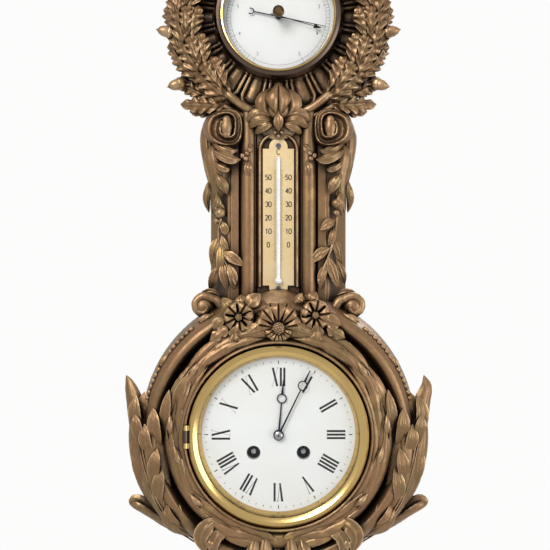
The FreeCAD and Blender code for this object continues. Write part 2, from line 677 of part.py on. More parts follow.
# ---------------------------------------------------------------- thermometer
def thermometer_plate():
    d0 = NECK_DEPTH + 4 - RECESS
    plate = thermo_tool(0.0, d0, d0 + THERMO_T)
    for z in thermo_screw_places():
        plate = plate.cut(disc(SCREW_R, d0 - OVER, d0 + THERMO_T + OVER, 0, z))
    return plate


THERMO_FRONT = NECK_DEPTH + 4 - RECESS + THERMO_T
BORE_R = 0.6
BULB_R = 3.6


def tube_axis():
    """The tube is let a little into the plate's face, so its back is a narrow flat."""
    return THERMO_FRONT + TUBE_R - 0.15


def thermometer_tube():
    """Glass tube with a bulb, hollow for the mercury; it lies on the plate."""
    z0, z1 = THERMO_Z + TUBE_BOTTOM, THERMO_Z + TUBE_TOP
    d = tube_axis()
    tube = Part.makeCylinder(TUBE_R, z1 - z0, V(0, -d, z0), V(0, 0, 1))
    tube = tube.fuse(Part.makeSphere(TUBE_R, V(0, -d, z1)))
    bulb = Part.makeSphere(BULB_R, V(0, -d - 1.2, z0))
    outside = fused([tube, bulb]).cut(block(-9, 9, 0, THERMO_FRONT, z0 - 9, z1 + 9))
    bore = Part.makeCylinder(BORE_R, z1 - z0, V(0, -d, z0), V(0, 0, 1))
    return outside.cut(fused([bore, Part.makeSphere(BULB_R - 1.0, V(0, -d - 1.2, z0))]))


MERCURY_TOP = -6.0          # about the plate's middle: room temperature


def thermometer_mercury():
    z0 = THERMO_Z + TUBE_BOTTOM
    column = Part.makeCylinder(BORE_R, MERCURY_TOP - TUBE_BOTTOM, V(0, -tube_axis(), z0), V(0, 0, 1))
    return column.fuse(Part.makeSphere(BULB_R - 1.0, V(0, -tube_axis() - 1.2, z0))).removeSplitter()


def slotted_screw(x, z, head_depth, length, head_r=2.6):
    """Round-headed screw driven into the wood from the front."""
    head = disc(head_r, head_depth, head_depth + 1.4, x, z)
    slot = block(x - head_r, x + head_r, head_depth + 0.8, head_depth + 2, z - 0.3, z + 0.3)
    return head.fuse(disc(SCREW_R, head_depth - length, head_depth, x, z)).cut(slot)


def screws_and_pin():
    """Loose ironwork: screws of the thermometer and hanging plates, and the back door's pin."""
    made = [door_rod(DOOR_PIN_R, 9.0)]
    made += [slotted_screw(0, z, THERMO_FRONT, 9.0) for z in thermo_screw_places()]
    for x, z in HANG_SCREWS:
        made.append(countersink(x, z, 0).fuse(disc(SCREW_R, 1.0, 9.0, x, z)))
    return Part.makeCompound(made)


# ---------------------------------------------------------------- barometer
def baro_can():
    """Spun brass can with a flange that rests on the wooden seat."""
    can = turned([
        (0, 6), (BARO_CAN_R, 6), (BARO_CAN_R, 36), (BARO_FLANGE_R, 36), (BARO_FLANGE_R, 37.2),
        (BARO_CAN_R - 1, 37.2), (BARO_CAN_R - 1, 7.2), (0, 7.2)], 0, BARO_Z)
    return can.fuse(ring(3.0, LEVER_R + FIT, 7.2, 12.0, *LEVER_PIVOT))


def baro_dial():
    dial = turned([(1.6, BARO_CAN_DEPTH), (60, BARO_CAN_DEPTH), (60, BARO_CAN_DEPTH + 1.2),
                   (1.6, BARO_CAN_DEPTH + 1.2)], 0, BARO_Z)
    feet = [disc(1.5, 7.2, BARO_CAN_DEPTH, *polar(46, a, 0, BARO_Z)) for a in (60, 180, 300)]
    return fused([dial] + feet)


def baro_bezel():
    return turned([
        (BARO_FLANGE_R + 0.3, 37.4), (BARO_FLANGE_R + 1.2, 37.4), (BARO_FLANGE_R + 1.2, FRAME_DEPTH + HAIR),
        (BARO_BEZEL_R, FRAME_DEPTH + HAIR), (BARO_BEZEL_R, 51), (BARO_BEZEL_R - 3, 55), (BARO_BEZEL_R - 5.5, BARO_FRONT),
        (BARO_SIGHT_R + 1, 54), (BARO_SIGHT_R, 52), (BARO_SIGHT_R, 50), (60.3, 50), (60.3, 48),
        (58.5, 45), (58.2, 41.5), (60.3, 41.5), (62, 46), (BARO_FLANGE_R + 0.3, 46)], 0, BARO_Z)


def baro_glass():
    return turned([(1.4, 48), (60, 48), (60, 50), (1.4, 50)], 0, BARO_Z)


def capsule():
    """Corrugated vacuum capsule on its pillar."""
    outline = [(0, 7.2), (4, 7.2), (4, 11)]
    for i in range(4):
        outline += [(8 + 4 * i, 11.0 + 0.8 * (i % 2)), (CAPSULE_R - 2 if i == 3 else 10 + 4 * i, 11.8 - 0.8 * (i % 2))]
    outline += [(CAPSULE_R, 11.5), (CAPSULE_R, 15.0)]
    for i in reversed(range(4)):
        outline += [(9 + 4 * i, 15.6 - 0.7 * (i % 2))]
    outline += [(3, 15.6), (3, 19), (0, 19)]
    return turned(outline, 0, BARO_Z)


def mainspring():
    """Flat steel bow over the capsule, with the bridges that carry it and the pointer's arbor."""
    strip = block(-9, 9, 19, 20.6, BARO_Z - 26, BARO_Z + 32)
    foot = block(-9, 9, 7.2, 19, BARO_Z + 29, BARO_Z + 32)
    posts = [disc(2.5, 7.2, 19, x, BARO_Z + 38) for x in (-16, 16)]
    bridge = block(-20, 20, 19, 20.6, BARO_Z + 32, BARO_Z + 42)
    bow = fused([strip, foot, bridge] + posts)
    bar = block(-37, 37, 30.0, 31.5, BARO_Z - 3, BARO_Z + 3)
    bar = bar.fuse(disc(4.5, 30.0, 31.5, *LEVER_PIVOT))
    bar = bar.fuse(block(28, 32, 30.0, 31.5, LEVER_PIVOT[1], BARO_Z))
    bar = bar.cut(disc(POINTER_ARBOR_R + FIT, 29, 33, 0, BARO_Z)).cut(disc(LEVER_R + FIT, 29, 33, *LEVER_PIVOT))
    legs = [disc(2.0, 7.2, 30.0, x, BARO_Z) for x in (-34, 34)]
    return Part.makeCompound([bow, fused([bar] + legs)])




def baro_lever():
    """Rocking shaft with the long arm that pulls the chain of the pointer's drum."""
    x, z = LEVER_PIVOT
    shaft = disc(LEVER_R, 7.4, 33.0, x, z)
    arm = block(x - 26, x, 27, 28.2, z - 0.9, z + 0.9)
    weight = disc(3.0, 26.6, 28.6, x + 6, z)
    link = block(x - 1, x + 6, 27, 28.2, z - 0.9, z + 0.9)
    return fused([shaft, arm, weight, link])


def bent_hand(length, tail, width, d0, d1, x, z, degrees):
    """A slim tapered hand with a counterweighted tail."""
    blade = prism([(x - width / 2, z), (x + width / 2, z), (x + width / 5, z + length), (x - width / 5, z + length)], d0, d1)
    back = block(x - width / 2, x + width / 2, d0, d1, z - tail, z)
    return turned_to(fused([blade, back]), degrees, x, z)


def baro_pointer():
    """Blued pointer with a crescent tail, on its arbor with the chain drum."""
    hand = bent_hand(50, 26, 1.1, 43.4, 44.0, 0, BARO_Z, POINTER_ANGLE)
    crescent = ring(3.4, 2.4, 43.4, 44.0, 0, BARO_Z - 29).cut(disc(2.4, 43, 45, 0, BARO_Z - 31.4))
    crescent = turned_to(crescent, POINTER_ANGLE, 0, BARO_Z)
    arbor = disc(POINTER_ARBOR_R, 24, 45.5, 0, BARO_Z).fuse(disc(3.2, 26, 29, 0, BARO_Z))
    cap = disc(3.2, 43.0, 45.2, 0, BARO_Z)
    return fused([hand, crescent, arbor, cap])


def set_hand():
    """Brass reference hand under the glass, turned by the knob outside it."""
    hand = bent_hand(42, 8, 0.9, 46.2, 46.8, 0, BARO_Z, SET_ANGLE)
    head = turned_to(prism([(-2.6, BARO_Z + 38), (2.6, BARO_Z + 38), (0, BARO_Z + 46)], 46.2, 46.8), SET_ANGLE, 0, BARO_Z)
    stem = disc(1.3, 46.2, 52, 0, BARO_Z)
    hub = disc(2.8, 46.0, 47.4, 0, BARO_Z)
    knob = turned([(0, 50.6), (3.4, 50.6), (2.0, 53), (2.2, 55), (5.2, 57), (6.0, 59.5), (5.6, 62), (3.5, KNOB_DEPTH), (0, KNOB_DEPTH)], 0, BARO_Z)
    return fused([hand, head, stem, hub, knob])


# ---------------------------------------------------------------- clock: case fittings
def dial_plate():
    """Brass pan behind the enamel dial; its flange stands on the wooden seat, its feet on the plate."""
    pan = turned([
        (44, DIAL_BACK), (79, DIAL_BACK), (79, SEAT_DEPTH + 1.4), (BEZEL_R - 0.5, SEAT_DEPTH + 1.4),
        (BEZEL_R - 0.5, SEAT_DEPTH), (77.6, SEAT_DEPTH), (77.6, DIAL_BACK - 1.4), (44, DIAL_BACK - 1.4)], 0, CLOCK_Z)
    feet = [disc(2.5, FRONT_PLATE_DEPTH + PLATE_T, DIAL_BACK - 1.4, *polar(45.2, a, 0, CLOCK_Z))
            for a in (30, 150, 250)]
    return fused([pan] + feet)


def clock_dial():
    dial = disc(DIAL_R, DIAL_BACK, DIAL_FRONT, 0, CLOCK_Z)
    dial = dial.cut(disc(4.2, DIAL_BACK - OVER, DIAL_FRONT + OVER, 0, CLOCK_Z))
    for x, z in (GOING, STRIKING):
        dial = dial.cut(disc(WINDING_HOLE_R, DIAL_BACK - OVER, DIAL_FRONT + OVER, x, z))
    return dial


GLASS_R = 82.5
GLASS_BACK = 77.6
KNUCKLE_R = 2.0
PIN_R = 0.9
HINGE_HALF = 6.0


def clock_bezel():
    """Hinged brass bezel with its sight ring, cut away for the hinge leaf."""
    bezel = turned([
        (BEZEL_R, BEZEL_BACK), (BEZEL_R, BEZEL_FRONT - 2), (BEZEL_R - 2, BEZEL_FRONT), (BEZEL_R - 5, BEZEL_FRONT),
        (BEZEL_R - 7.5, BEZEL_FRONT - 1.4), (GLASS_R - 2, GLASS_BACK + GLASS_T), (GLASS_R, GLASS_BACK + GLASS_T),
        (GLASS_R, GLASS_BACK), (GLASS_R - 1.5, GLASS_BACK), (SIGHT_R, DIAL_FRONT + HAIR),
        (SIGHT_R + 1.4, DIAL_FRONT + HAIR), (GLASS_R + 1.2, 75.5), (BEZEL_R - 1.6, BEZEL_BACK)], 0, CLOCK_Z)
    bezel = bezel.cut(block(HINGE_X - 6, HINGE_X + 4.4, SEAT_DEPTH, BEZEL_FRONT + 2,
                            CLOCK_Z - HINGE_HALF - HAIR, CLOCK_Z + HINGE_HALF + HAIR))
    for z0 in (HINGE_HALF + HAIR, -HINGE_HALF - HAIR - 5):
        lug = Part.makeCylinder(KNUCKLE_R, 5, V(HINGE_X, -HINGE_DEPTH, CLOCK_Z + z0), V(0, 0, 1))
        web = block(HINGE_X, HINGE_X + 4, HINGE_DEPTH - 1.2, HINGE_DEPTH + 1.2, CLOCK_Z + z0, CLOCK_Z + z0 + 5)
        hole = Part.makeCylinder(PIN_R + FIT, 7, V(HINGE_X, -HINGE_DEPTH, CLOCK_Z + z0 - 1), V(0, 0, 1))
        bezel = fused([bezel, lug, web]).cut(hole)
    return bezel


def clock_glass():
    return disc(GLASS_R, GLASS_BACK, GLASS_BACK + GLASS_T, 0, CLOCK_Z)


def bezel_hinge():
    """Fixed leaf on the dial plate's flange, with the middle knuckle and the pin."""
    leaf = block(HINGE_X + 1.7, HINGE_X + 2.9, SEAT_DEPTH + 1.4, HINGE_DEPTH, CLOCK_Z - HINGE_HALF, CLOCK_Z + HINGE_HALF)
    web = block(HINGE_X, HINGE_X + 2.9, HINGE_DEPTH - 1.2, HINGE_DEPTH, CLOCK_Z - HINGE_HALF, CLOCK_Z + HINGE_HALF)
    foot = block(HINGE_X + 1.8, HINGE_X + 8, SEAT_DEPTH + 1.4, SEAT_DEPTH + 2.4, CLOCK_Z - HINGE_HALF, CLOCK_Z + HINGE_HALF)
    knuckle = Part.makeCylinder(KNUCKLE_R, 2 * HINGE_HALF, V(HINGE_X, -HINGE_DEPTH, CLOCK_Z - HINGE_HALF), V(0, 0, 1))
    reach = HINGE_HALF + HAIR + 5.6
    pin = Part.makeCylinder(PIN_R, 2 * reach, V(HINGE_X, -HINGE_DEPTH, CLOCK_Z - reach), V(0, 0, 1))
    return fused([leaf, web, foot, knuckle, pin])


def back_door():
    """Thin round door in its rebate, with the barrel that turns on the hinge pin."""
    door = disc(DOOR_R, DOOR_D, DOOR_D + DOOR_T, 0, CLOCK_Z)
    door = door.cut(ring(6.0, 4.0, 0, DOOR_D + 0.7, 40, CLOCK_Z))
    web = block(DOOR_HINGE[0], -DOOR_R + 2, DOOR_D, DOOR_D + DOOR_T, CLOCK_Z - 6, CLOCK_Z + 6)
    barrel = door_rod(DOOR_BARREL_R, 6.0)
    return fused([door, web, barrel]).cut(door_rod(DOOR_PIN_R + FIT, 8.0))


def door_rod(radius, half):
    x, depth = DOOR_HINGE
    return Part.makeCylinder(radius, 2 * half, V(x, -depth, CLOCK_Z - half), V(0, 0, 1))


# ---------------------------------------------------------------- clock: movement frame
def plate(d0, hammer_r):
    """A round plate with pivot holes where its arbors run."""
    made = disc(PLATE_R, d0, d0 + PLATE_T, 0, CLOCK_Z)
    holes = [(*HAMMER_PIVOT, hammer_r + FIT), (*GOING, ARBOR_R + FIT), (*STRIKING, ARBOR_R + FIT), (*INTER, 0.8 + FIT), (*CENTRE, 1.5 + FIT),
             (*THIRD, 0.7 + FIT), (*ESCAPE, 0.6 + FIT), (*PIN_WHEEL, 0.8 + FIT), (*PALLETS, 1.0 + FIT)]
    for x, z, r in holes:
        made = made.cut(disc(r, d0 - OVER, d0 + PLATE_T + OVER, x, z))
    for x, z in pillar_places():
        made = made.cut(disc(1.6, d0 - OVER, d0 + PLATE_T + OVER, x, z))
    return made


def pillar_places():
    return [polar(PILLAR_RING, a, 0, CLOCK_Z) for a in (10, 62, 125, 270)]


def front_plate():
    made = plate(FRONT_PLATE_DEPTH, 0.8)
    stud = disc(0.8, FRONT_PLATE_DEPTH + PLATE_T - 0.1, DIAL_BACK - 0.4, *MINUTE)
    return made.fuse(stud)


def back_plate():
    """Back plate with the cock that carries the pendulum's suspension."""
    made = plate(BACK_PLATE_DEPTH, HAMMER_ARBOR_R)
    cock = block(-5, 5, 22, BACK_PLATE_DEPTH, PALLETS[1] + 3.4, PALLETS[1] + 6.4)
    return made.fuse(cock)


def pillars():
    made = []
    for x, z in pillar_places():
        pin = disc(1.6, BACK_PLATE_DEPTH - 0.8, FRONT_PLATE_DEPTH + PLATE_T + 0.8, x, z)
        made.append(pin.fuse(disc(PILLAR_R, BACK_PLATE_DEPTH + PLATE_T, FRONT_PLATE_DEPTH, x, z)))
    return Part.makeCompound(made)


def bell():
    """Bell on a stand behind the back plate; its bracket passes behind the pendulum."""
    z = CLOCK_Z - 6
    dome = turned([(0, 5.4), (10, 5.8), (20, 7.4), (28, 11), (BELL_R, 17.6), (BELL_R - 1.4, 17.6), (27, 12),
                   (19.4, 8.8), (10, 7.2), (0, 6.8)], 0, z)
    stand = disc(2.0, 6.0, 19.8, 0, z)
    arm = block(0, 42, 18.2, 19.8, z - 2, z + 2)
    post = disc(2.0, 18.2, BACK_PLATE_DEPTH, 42, z)
    return fused([dome, stand, arm, post])


# ---------------------------------------------------------------- clock: wheels, hands, pendulum
PHASE_CENTRE = 0.3
PHASE_GREAT = 0.0


def barrel(place, phase):
    """Spring barrel with its great wheel, running free on the winding arbor."""
    x, z = place
    wheel = toothed(GREAT, phase, GREAT_D, GREAT_D + 1.6, x, z)
    drum = disc(19.0, DRUM_BACK_D, GREAT_D, x, z)
    return wheel.fuse(drum).cut(disc(ARBOR_R + FIT, DRUM_BACK_D - OVER, GREAT_D + 4, x, z)).removeSplitter()


def winding_arbor(place):
    """Arbor with the square that the key fits."""
    x, z = place
    shaft = disc(ARBOR_R, BACK_PLATE_DEPTH - 0.5, FRONT_PLATE_DEPTH + PLATE_T + 0.6, x, z)
    half = ARBOR_R * 0.68
    square = block(x - half, x + half, FRONT_PLATE_DEPTH + PLATE_T, DIAL_BACK - 0.5, z - half, z + half)
    return shaft.fuse(square).removeSplitter()


def going_barrel():
    return barrel(GOING, PHASE_GREAT)


def strike_barrel():
    return barrel(STRIKING, PHASE_GREAT)


def inter_phase():
    return mesh_phase(GREAT, PHASE_GREAT, angle_between(GOING, INTER), INTER_PINION)


def arbor(place, radius, d0, d1):
    return disc(radius, d0, d1, *place)


BACK_PIVOT = BACK_PLATE_DEPTH + 0.2
FRONT_PIVOT = FRONT_PLATE_DEPTH + PLATE_T - 0.2


def intermediate_wheel():
    wheel_phase = mesh_phase(CENTRE_PINION, PHASE_CENTRE, angle_between(CENTRE, INTER), INTER_WHEEL)
    return fused([
        toothed(INTER_PINION, inter_phase(), GREAT_D - 1.0, GREAT_D + 2.4, *INTER, pinion=True),
        arm_wheel(INTER_WHEEL, wheel_phase, INTER_WHEEL_D, INTER_WHEEL_D + WHEEL_T, *INTER),
        arbor(INTER, 0.8, BACK_PIVOT, FRONT_PIVOT)])


def centre_wheel():
    """Centre arbor with its pinion and wheel; it reaches through the front plate to the collet."""
    return fused([
        toothed(CENTRE_PINION, PHASE_CENTRE, INTER_WHEEL_D - 1, INTER_WHEEL_D + 2, *CENTRE, pinion=True),
        arm_wheel(CENTRE_WHEEL, PHASE_CENTRE, CENTRE_WHEEL_D, CENTRE_WHEEL_D + WHEEL_T, *CENTRE),
        arbor(CENTRE, 1.5, BACK_PIVOT, FRONT_PIVOT), arbor(CENTRE, 1.0, FRONT_PIVOT, 76.2)])


def third_wheel():
    pinion_phase = mesh_phase(CENTRE_WHEEL, PHASE_CENTRE, angle_between(CENTRE, THIRD), THIRD_PINION)
    return fused([
        toothed(THIRD_PINION, pinion_phase, CENTRE_WHEEL_D - 1, CENTRE_WHEEL_D + 2, *THIRD, pinion=True),
        arm_wheel(THIRD_WHEEL, PHASE_GREAT, THIRD_WHEEL_D, THIRD_WHEEL_D + WHEEL_T, *THIRD),
        arbor(THIRD, 0.7, BACK_PIVOT, FRONT_PIVOT)])


def escape_wheel():
    """Escape wheel with pointed teeth, its pinion and arbor."""
    pinion_phase = mesh_phase(THIRD_WHEEL, PHASE_GREAT, angle_between(THIRD, ESCAPE), ESCAPE_PINION)
    points = []
    for i in range(ESCAPE_TEETH):
        a = TAU * i / ESCAPE_TEETH
        for radius, lead in ((ESCAPE_R - 1.4, 0.0), (ESCAPE_R, 0.55)):
            angle = a + lead * TAU / ESCAPE_TEETH
            points.append((ESCAPE[0] + radius * math.cos(angle), ESCAPE[1] + radius * math.sin(angle)))
    wheel = prism(points, ESCAPE_D, ESCAPE_D + WHEEL_T).cut(
        crossed((60, 0.3), 2.0, ESCAPE_D, ESCAPE_D + WHEEL_T, *ESCAPE))
    return fused([
        wheel, toothed(ESCAPE_PINION, pinion_phase, THIRD_WHEEL_D - 1, THIRD_WHEEL_D + 2, *ESCAPE, pinion=True),
        arbor(ESCAPE, 0.6, BACK_PIVOT, FRONT_PIVOT)])


def anchor():
    """Anchor over the escape wheel, its arbor, and the crutch behind the back plate."""
    x, z = PALLETS
    reach = ESCAPE_R + 1.1
    shape = prism([(-1.5, z + 2), (1.5, z + 2), (10.5, z - 7), (10.8, z - 12), (9.0, z - 12), (8.4, z - 8),
                   (0, z - 2.2), (-8.4, z - 8), (-9.0, z - 12), (-10.8, z - 12), (-10.5, z - 7)],
                  ESCAPE_D - 0.2, ESCAPE_D + WHEEL_T + 0.2)
    shape = shape.cut(disc(reach, ESCAPE_D - 2, ESCAPE_D + 4, *ESCAPE))
    shaft = disc(1.0, 27.2, FRONT_PIVOT, x, z)
    crutch = block(-0.9, 0.9, 27.2, 28.4, z - 26, z).fuse(block(-2.6, 2.6, 27.2, 28.4, z - 30, z - 26))
    fork = [block(s * 2.6 - 0.5, s * 2.6 + 0.5, 21.5, 28.4, z - 30, z - 27) for s in (-1, 1)]
    return fused([shape, shaft, crutch] + fork)


def pendulum():
    """Suspension spring and hook, rod, lens bob and rating nut; it hangs from the cock."""
    x, z = PALLETS
    spring = block(-1.4, 1.4, 23.9, 24.1, z - 8, z + 3.4 - HAIR)
    rod_part = Part.makeCylinder(0.9, PENDULUM_L + 14, V(x, -24, z - PENDULUM_L - 14 - 6), V(0, 0, 1))
    hook = block(-2.0, 2.0, 23.2, 24.8, z - 9, z - 5)
    bob = turned([(0, 20.8), (BOB_R - 4, 21.6), (BOB_R, 24), (BOB_R - 4, 26.4), (0, 27.2)], x, z - PENDULUM_L)
    nut = Part.makeCylinder(3.0, 2.5, V(x, -24, z - PENDULUM_L - BOB_R - 4), V(0, 0, 1))
    return fused([spring, hook, rod_part, bob, nut])


def pin_wheel():
    """Strike pinion and the wheel whose pins lift the hammer."""
    phase = mesh_phase(GREAT, PHASE_GREAT, angle_between(STRIKING, PIN_WHEEL), INTER_PINION)
    x, z = PIN_WHEEL
    wheel = disc(10.5, INTER_WHEEL_D - 0.6, INTER_WHEEL_D + 0.6, x, z)
    pins = [disc(PIN_WHEEL_PIN_R, INTER_WHEEL_D + 0.6, INTER_WHEEL_D + 2.6, *polar(PIN_RING, 36 * i, x, z))
            for i in range(10)]
    return fused([toothed(INTER_PINION, phase, GREAT_D - 1.0, GREAT_D + 2.4, x, z, pinion=True), wheel,
                  arbor(PIN_WHEEL, 0.8, BACK_PIVOT, FRONT_PIVOT)] + pins)


def hammer():
    """Strike hammer; its tail ends just clear of the lifting pins and its head of the bell's rim."""
    x, z = HAMMER_PIVOT
    reach = math.dist(HAMMER_PIVOT, PIN_WHEEL) - PIN_RING - PIN_WHEEL_PIN_R - HAIR
    tail = block(x - 0.8, x + 0.8, INTER_WHEEL_D + 1.0, INTER_WHEEL_D + 2.4, z - reach, z)
    lean = math.degrees(math.atan2(PIN_WHEEL[0] - x, PIN_WHEEL[1] - z))
    tail = turned_to(tail, lean - 180, x, z)
    arm = block(x - 1.1, x + 1.1, 22.5, 24.5, z - 40, z)
    neck = block(x - 1.1, x + 1.1, 14.5, 24.5, z - 41, z - 39)
    head = Part.makeCylinder(3.2, 8.0, V(x - 6.0, -14.5, z - 40), V(1, 0, 0))
    return fused([arbor(HAMMER_PIVOT, HAMMER_ARBOR_R, 21.5, INTER_WHEEL_D + 3.5), tail, arm, neck, head,
                  arbor(HAMMER_PIVOT, 0.8, INTER_WHEEL_D + 3.5, FRONT_PIVOT),
                  disc(2.6, 21.5, 25.5, x, z)])


def cannon_pinion():
    made = toothed(CANNON, math.radians(90 - MINUTE_ANGLE), MOTION_D, MOTION_D + 1.6, *CENTRE, pinion=True)
    pipe = disc(2.0, MOTION_D, MINUTE_DEPTH + HAND_T, *CENTRE)
    return made.fuse(pipe).cut(disc(1.0, MOTION_D - 5, 80, *CENTRE)).removeSplitter()


def minute_wheel():
    down = angle_between(CENTRE, MINUTE)
    wheel_phase = mesh_phase(CANNON, math.radians(90 - MINUTE_ANGLE), down, MINUTE_WHEEL)
    made = fused([
        toothed(MINUTE_WHEEL, wheel_phase, MOTION_D + 0.2, MOTION_D + 1.2, *MINUTE),
        toothed(MINUTE_PINION, 0.0, MOTION_D + 1.2, MOTION_D + 3.2, *MINUTE, pinion=True)])
    return made.cut(disc(0.8 + FIT, MOTION_D - OVER, DIAL_BACK, *MINUTE))


def hour_wheel():
    phase = mesh_phase(MINUTE_PINION, 0.0, angle_between(MINUTE, CENTRE), HOUR_WHEEL)
    wheel = toothed(HOUR_WHEEL, phase, MOTION_D + 1.9, MOTION_D + 2.9, *CENTRE)
    pipe = disc(3.0, MOTION_D + 1.9, HOUR_DEPTH + 0.9, *CENTRE)
    return wheel.fuse(pipe).cut(disc(2.0 + FIT, 0, 99, *CENTRE)).removeSplitter()


HOUR_DEPTH = DIAL_FRONT + 1.6
MINUTE_DEPTH = HOUR_DEPTH + 2.2
HAND_T = 0.8


def moon_hand(length, moon, hub_bore, depth, degrees):
    """Hand with an open round moon, as on the dial: hub, slim stem, ring and pointed tip."""
    d0, d1 = depth, depth + HAND_T
    z, moon_r = CLOCK_Z, 5.0
    stem = prism([(-0.9, z + 3.5), (0.9, z + 3.5), (0.6, z + moon - moon_r + 0.6), (-0.6, z + moon - moon_r + 0.6)], d0, d1)
    circle = ring(moon_r, moon_r - 1.1, d0, d1, 0, z + moon)
    tip = prism([(-1.2, z + moon + moon_r - 0.5), (1.2, z + moon + moon_r - 0.5), (0.45, z + length), (-0.45, z + length)], d0, d1)
    hub = disc(5.2, d0, d1, 0, z)
    hand = fused([stem, circle, tip, hub]).cut(disc(hub_bore, d0 - OVER, d1 + OVER, 0, z))
    return turned_to(hand, degrees, 0, CLOCK_Z)


def hour_hand():
    return moon_hand(HOUR_LENGTH, 36.5, 3.0, HOUR_DEPTH, HOUR_ANGLE)


def minute_hand():
    return moon_hand(MINUTE_LENGTH, 55.0, 2.0, MINUTE_DEPTH, MINUTE_ANGLE)


def hand_collet():
    """Brass collet that holds the minute hand, with its taper pin."""
    collet = turned([(1.0, MINUTE_DEPTH + HAND_T), (4.4, MINUTE_DEPTH + HAND_T), (4.0, 75.4), (2.4, 76.0), (1.0, 76.0)], 0, CLOCK_Z)
    return collet


# ---------------------------------------------------------------- write every sub-part
def left_wreath():
    return wreath()


def right_wreath():
    return mirrored(wreath())


PARTS = {
    "back_board": back_board, "drum_body": drum_body, "inner_moulding": inner_moulding,
    "bead_strings": bead_strings, "neck_body": neck_body,
    "volute_left": lambda: mirrored(trim_volute()), "volute_right": lambda: trim_volute(),
    "leaf_drops": leaf_drops, "gadroon_frame": gadroon_frame, "wreath_left": left_wreath,
    "wreath_right": right_wreath, "crest_bow": crest_bow, "bud_boss": bud_boss,
    "flower_spray": flower_spray, "side_scrolls": side_scrolls, "acanthus_left": acanthus,
    "acanthus_right": lambda: mirrored(acanthus()), "pendant_drop": pendant_drop,
    "hanging_plate": hanging_plate, "screws_and_pin": screws_and_pin,
    "thermometer_plate": thermometer_plate, "thermometer_tube": thermometer_tube,
    "thermometer_mercury": thermometer_mercury, "baro_bezel": baro_bezel, "baro_glass": baro_glass,
    "baro_dial": baro_dial, "baro_can": baro_can, "baro_capsule": capsule,
    "baro_mainspring": mainspring, "baro_lever": baro_lever, "baro_pointer": baro_pointer,
    "set_hand": set_hand, "dial_plate": dial_plate, "clock_dial": clock_dial,
    "front_plate": front_plate, "back_plate": back_plate, "pillars": pillars, "bell": bell,
    "bezel_hinge": bezel_hinge, "clock_bezel": clock_bezel, "clock_glass": clock_glass,
    "minute_hand": minute_hand, "hand_collet": hand_collet, "cannon_pinion": cannon_pinion,
    "centre_wheel": centre_wheel, "hour_hand": hour_hand, "hour_wheel": hour_wheel,
    "minute_wheel": minute_wheel, "going_barrel": going_barrel,
    "going_arbor": lambda: winding_arbor(GOING), "intermediate_wheel": intermediate_wheel,
    "third_wheel": third_wheel, "escape_wheel": escape_wheel, "anchor": anchor,
    "pendulum": pendulum, "strike_barrel": strike_barrel,
    "strike_arbor": lambda: winding_arbor(STRIKING), "pin_wheel": pin_wheel, "hammer": hammer,
    "back_door": back_door,
}


@lru_cache
def trim_volute():
    """The right console scroll, bedded on its neighbours."""
    made = volute()
    wreaths = wreath()
    for neighbour in (neck_body(), back_board(), upper_case(), mirrored(wreaths)):
        made = made.cut(neighbour)
    return max(made.Solids, key=lambda s: s.Volume)


os.makedirs("parts", exist_ok=True)
for name, make in PARTS.items():
    shape = make()
    if not shape.isValid() or not shape.Solids:
        print("CHECK", name, "valid", shape.isValid(), "solids", len(shape.Solids))
    shape.exportStep(f"parts/{name}.step")
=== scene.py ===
"""Looks of the carved wall barometer: gilt-bronzed carving, brasswork, enamel, glass and hands.

Every piece is built in bench millimetres, (x, depth, height) about the centre of a dial, where depth is
the distance in front of the wall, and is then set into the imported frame.
"""
import json
import math

import bmesh
import bpy
import numpy as np
from bpy.props import FloatProperty, FloatVectorProperty, PointerProperty
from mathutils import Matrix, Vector


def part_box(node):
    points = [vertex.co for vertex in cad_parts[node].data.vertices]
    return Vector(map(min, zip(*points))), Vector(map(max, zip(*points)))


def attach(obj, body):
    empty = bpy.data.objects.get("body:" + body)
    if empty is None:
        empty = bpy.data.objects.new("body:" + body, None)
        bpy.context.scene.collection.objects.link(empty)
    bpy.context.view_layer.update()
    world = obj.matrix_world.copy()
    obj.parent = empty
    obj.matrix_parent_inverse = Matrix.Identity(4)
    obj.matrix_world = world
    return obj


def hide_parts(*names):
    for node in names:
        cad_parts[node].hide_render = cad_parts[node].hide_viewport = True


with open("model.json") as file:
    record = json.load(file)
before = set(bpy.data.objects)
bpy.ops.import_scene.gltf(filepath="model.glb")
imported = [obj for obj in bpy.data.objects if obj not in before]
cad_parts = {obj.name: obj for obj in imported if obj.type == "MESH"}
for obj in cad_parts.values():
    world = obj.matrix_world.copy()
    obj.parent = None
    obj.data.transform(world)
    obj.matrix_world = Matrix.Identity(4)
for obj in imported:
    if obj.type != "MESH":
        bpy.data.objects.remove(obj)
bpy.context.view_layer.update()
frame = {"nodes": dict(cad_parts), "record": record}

bl_info = {
    "name": "Carved wall barometer",
    "version": (1, 0, 0),
    "blender": (4, 5, 0),
    "location": "View3D > Sidebar > Barometer",
    "description": "Builds the carved case, dials and finishes round the packed frame",
    "category": "Object",
}

MM = 0.001
TAU = 2 * math.pi
WELD = 2e-7          # metres: points closer than this are one point


def middle(node):
    """The centre of the node's box, in the frame's metres."""
    low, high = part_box(node)
    return [(a + b) / 2 for a, b in zip(low, high)]


def half_width(node):
    """Half of the node's width, in millimetres."""
    low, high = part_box(node)
    return (high[0] - low[0]) / 2 / MM


def face_depth(node):
    """How far the node's front stands off the wall, in millimetres."""
    return -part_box(node)[0][1] / MM


CLOCK = middle("clock_dial")
BARO = middle("baro_dial")
THERMO = middle("thermometer_plate")


def over_clock(height):
    """A height in the frame as millimetres over the clock dial's centre."""
    return (height - CLOCK[2]) / MM


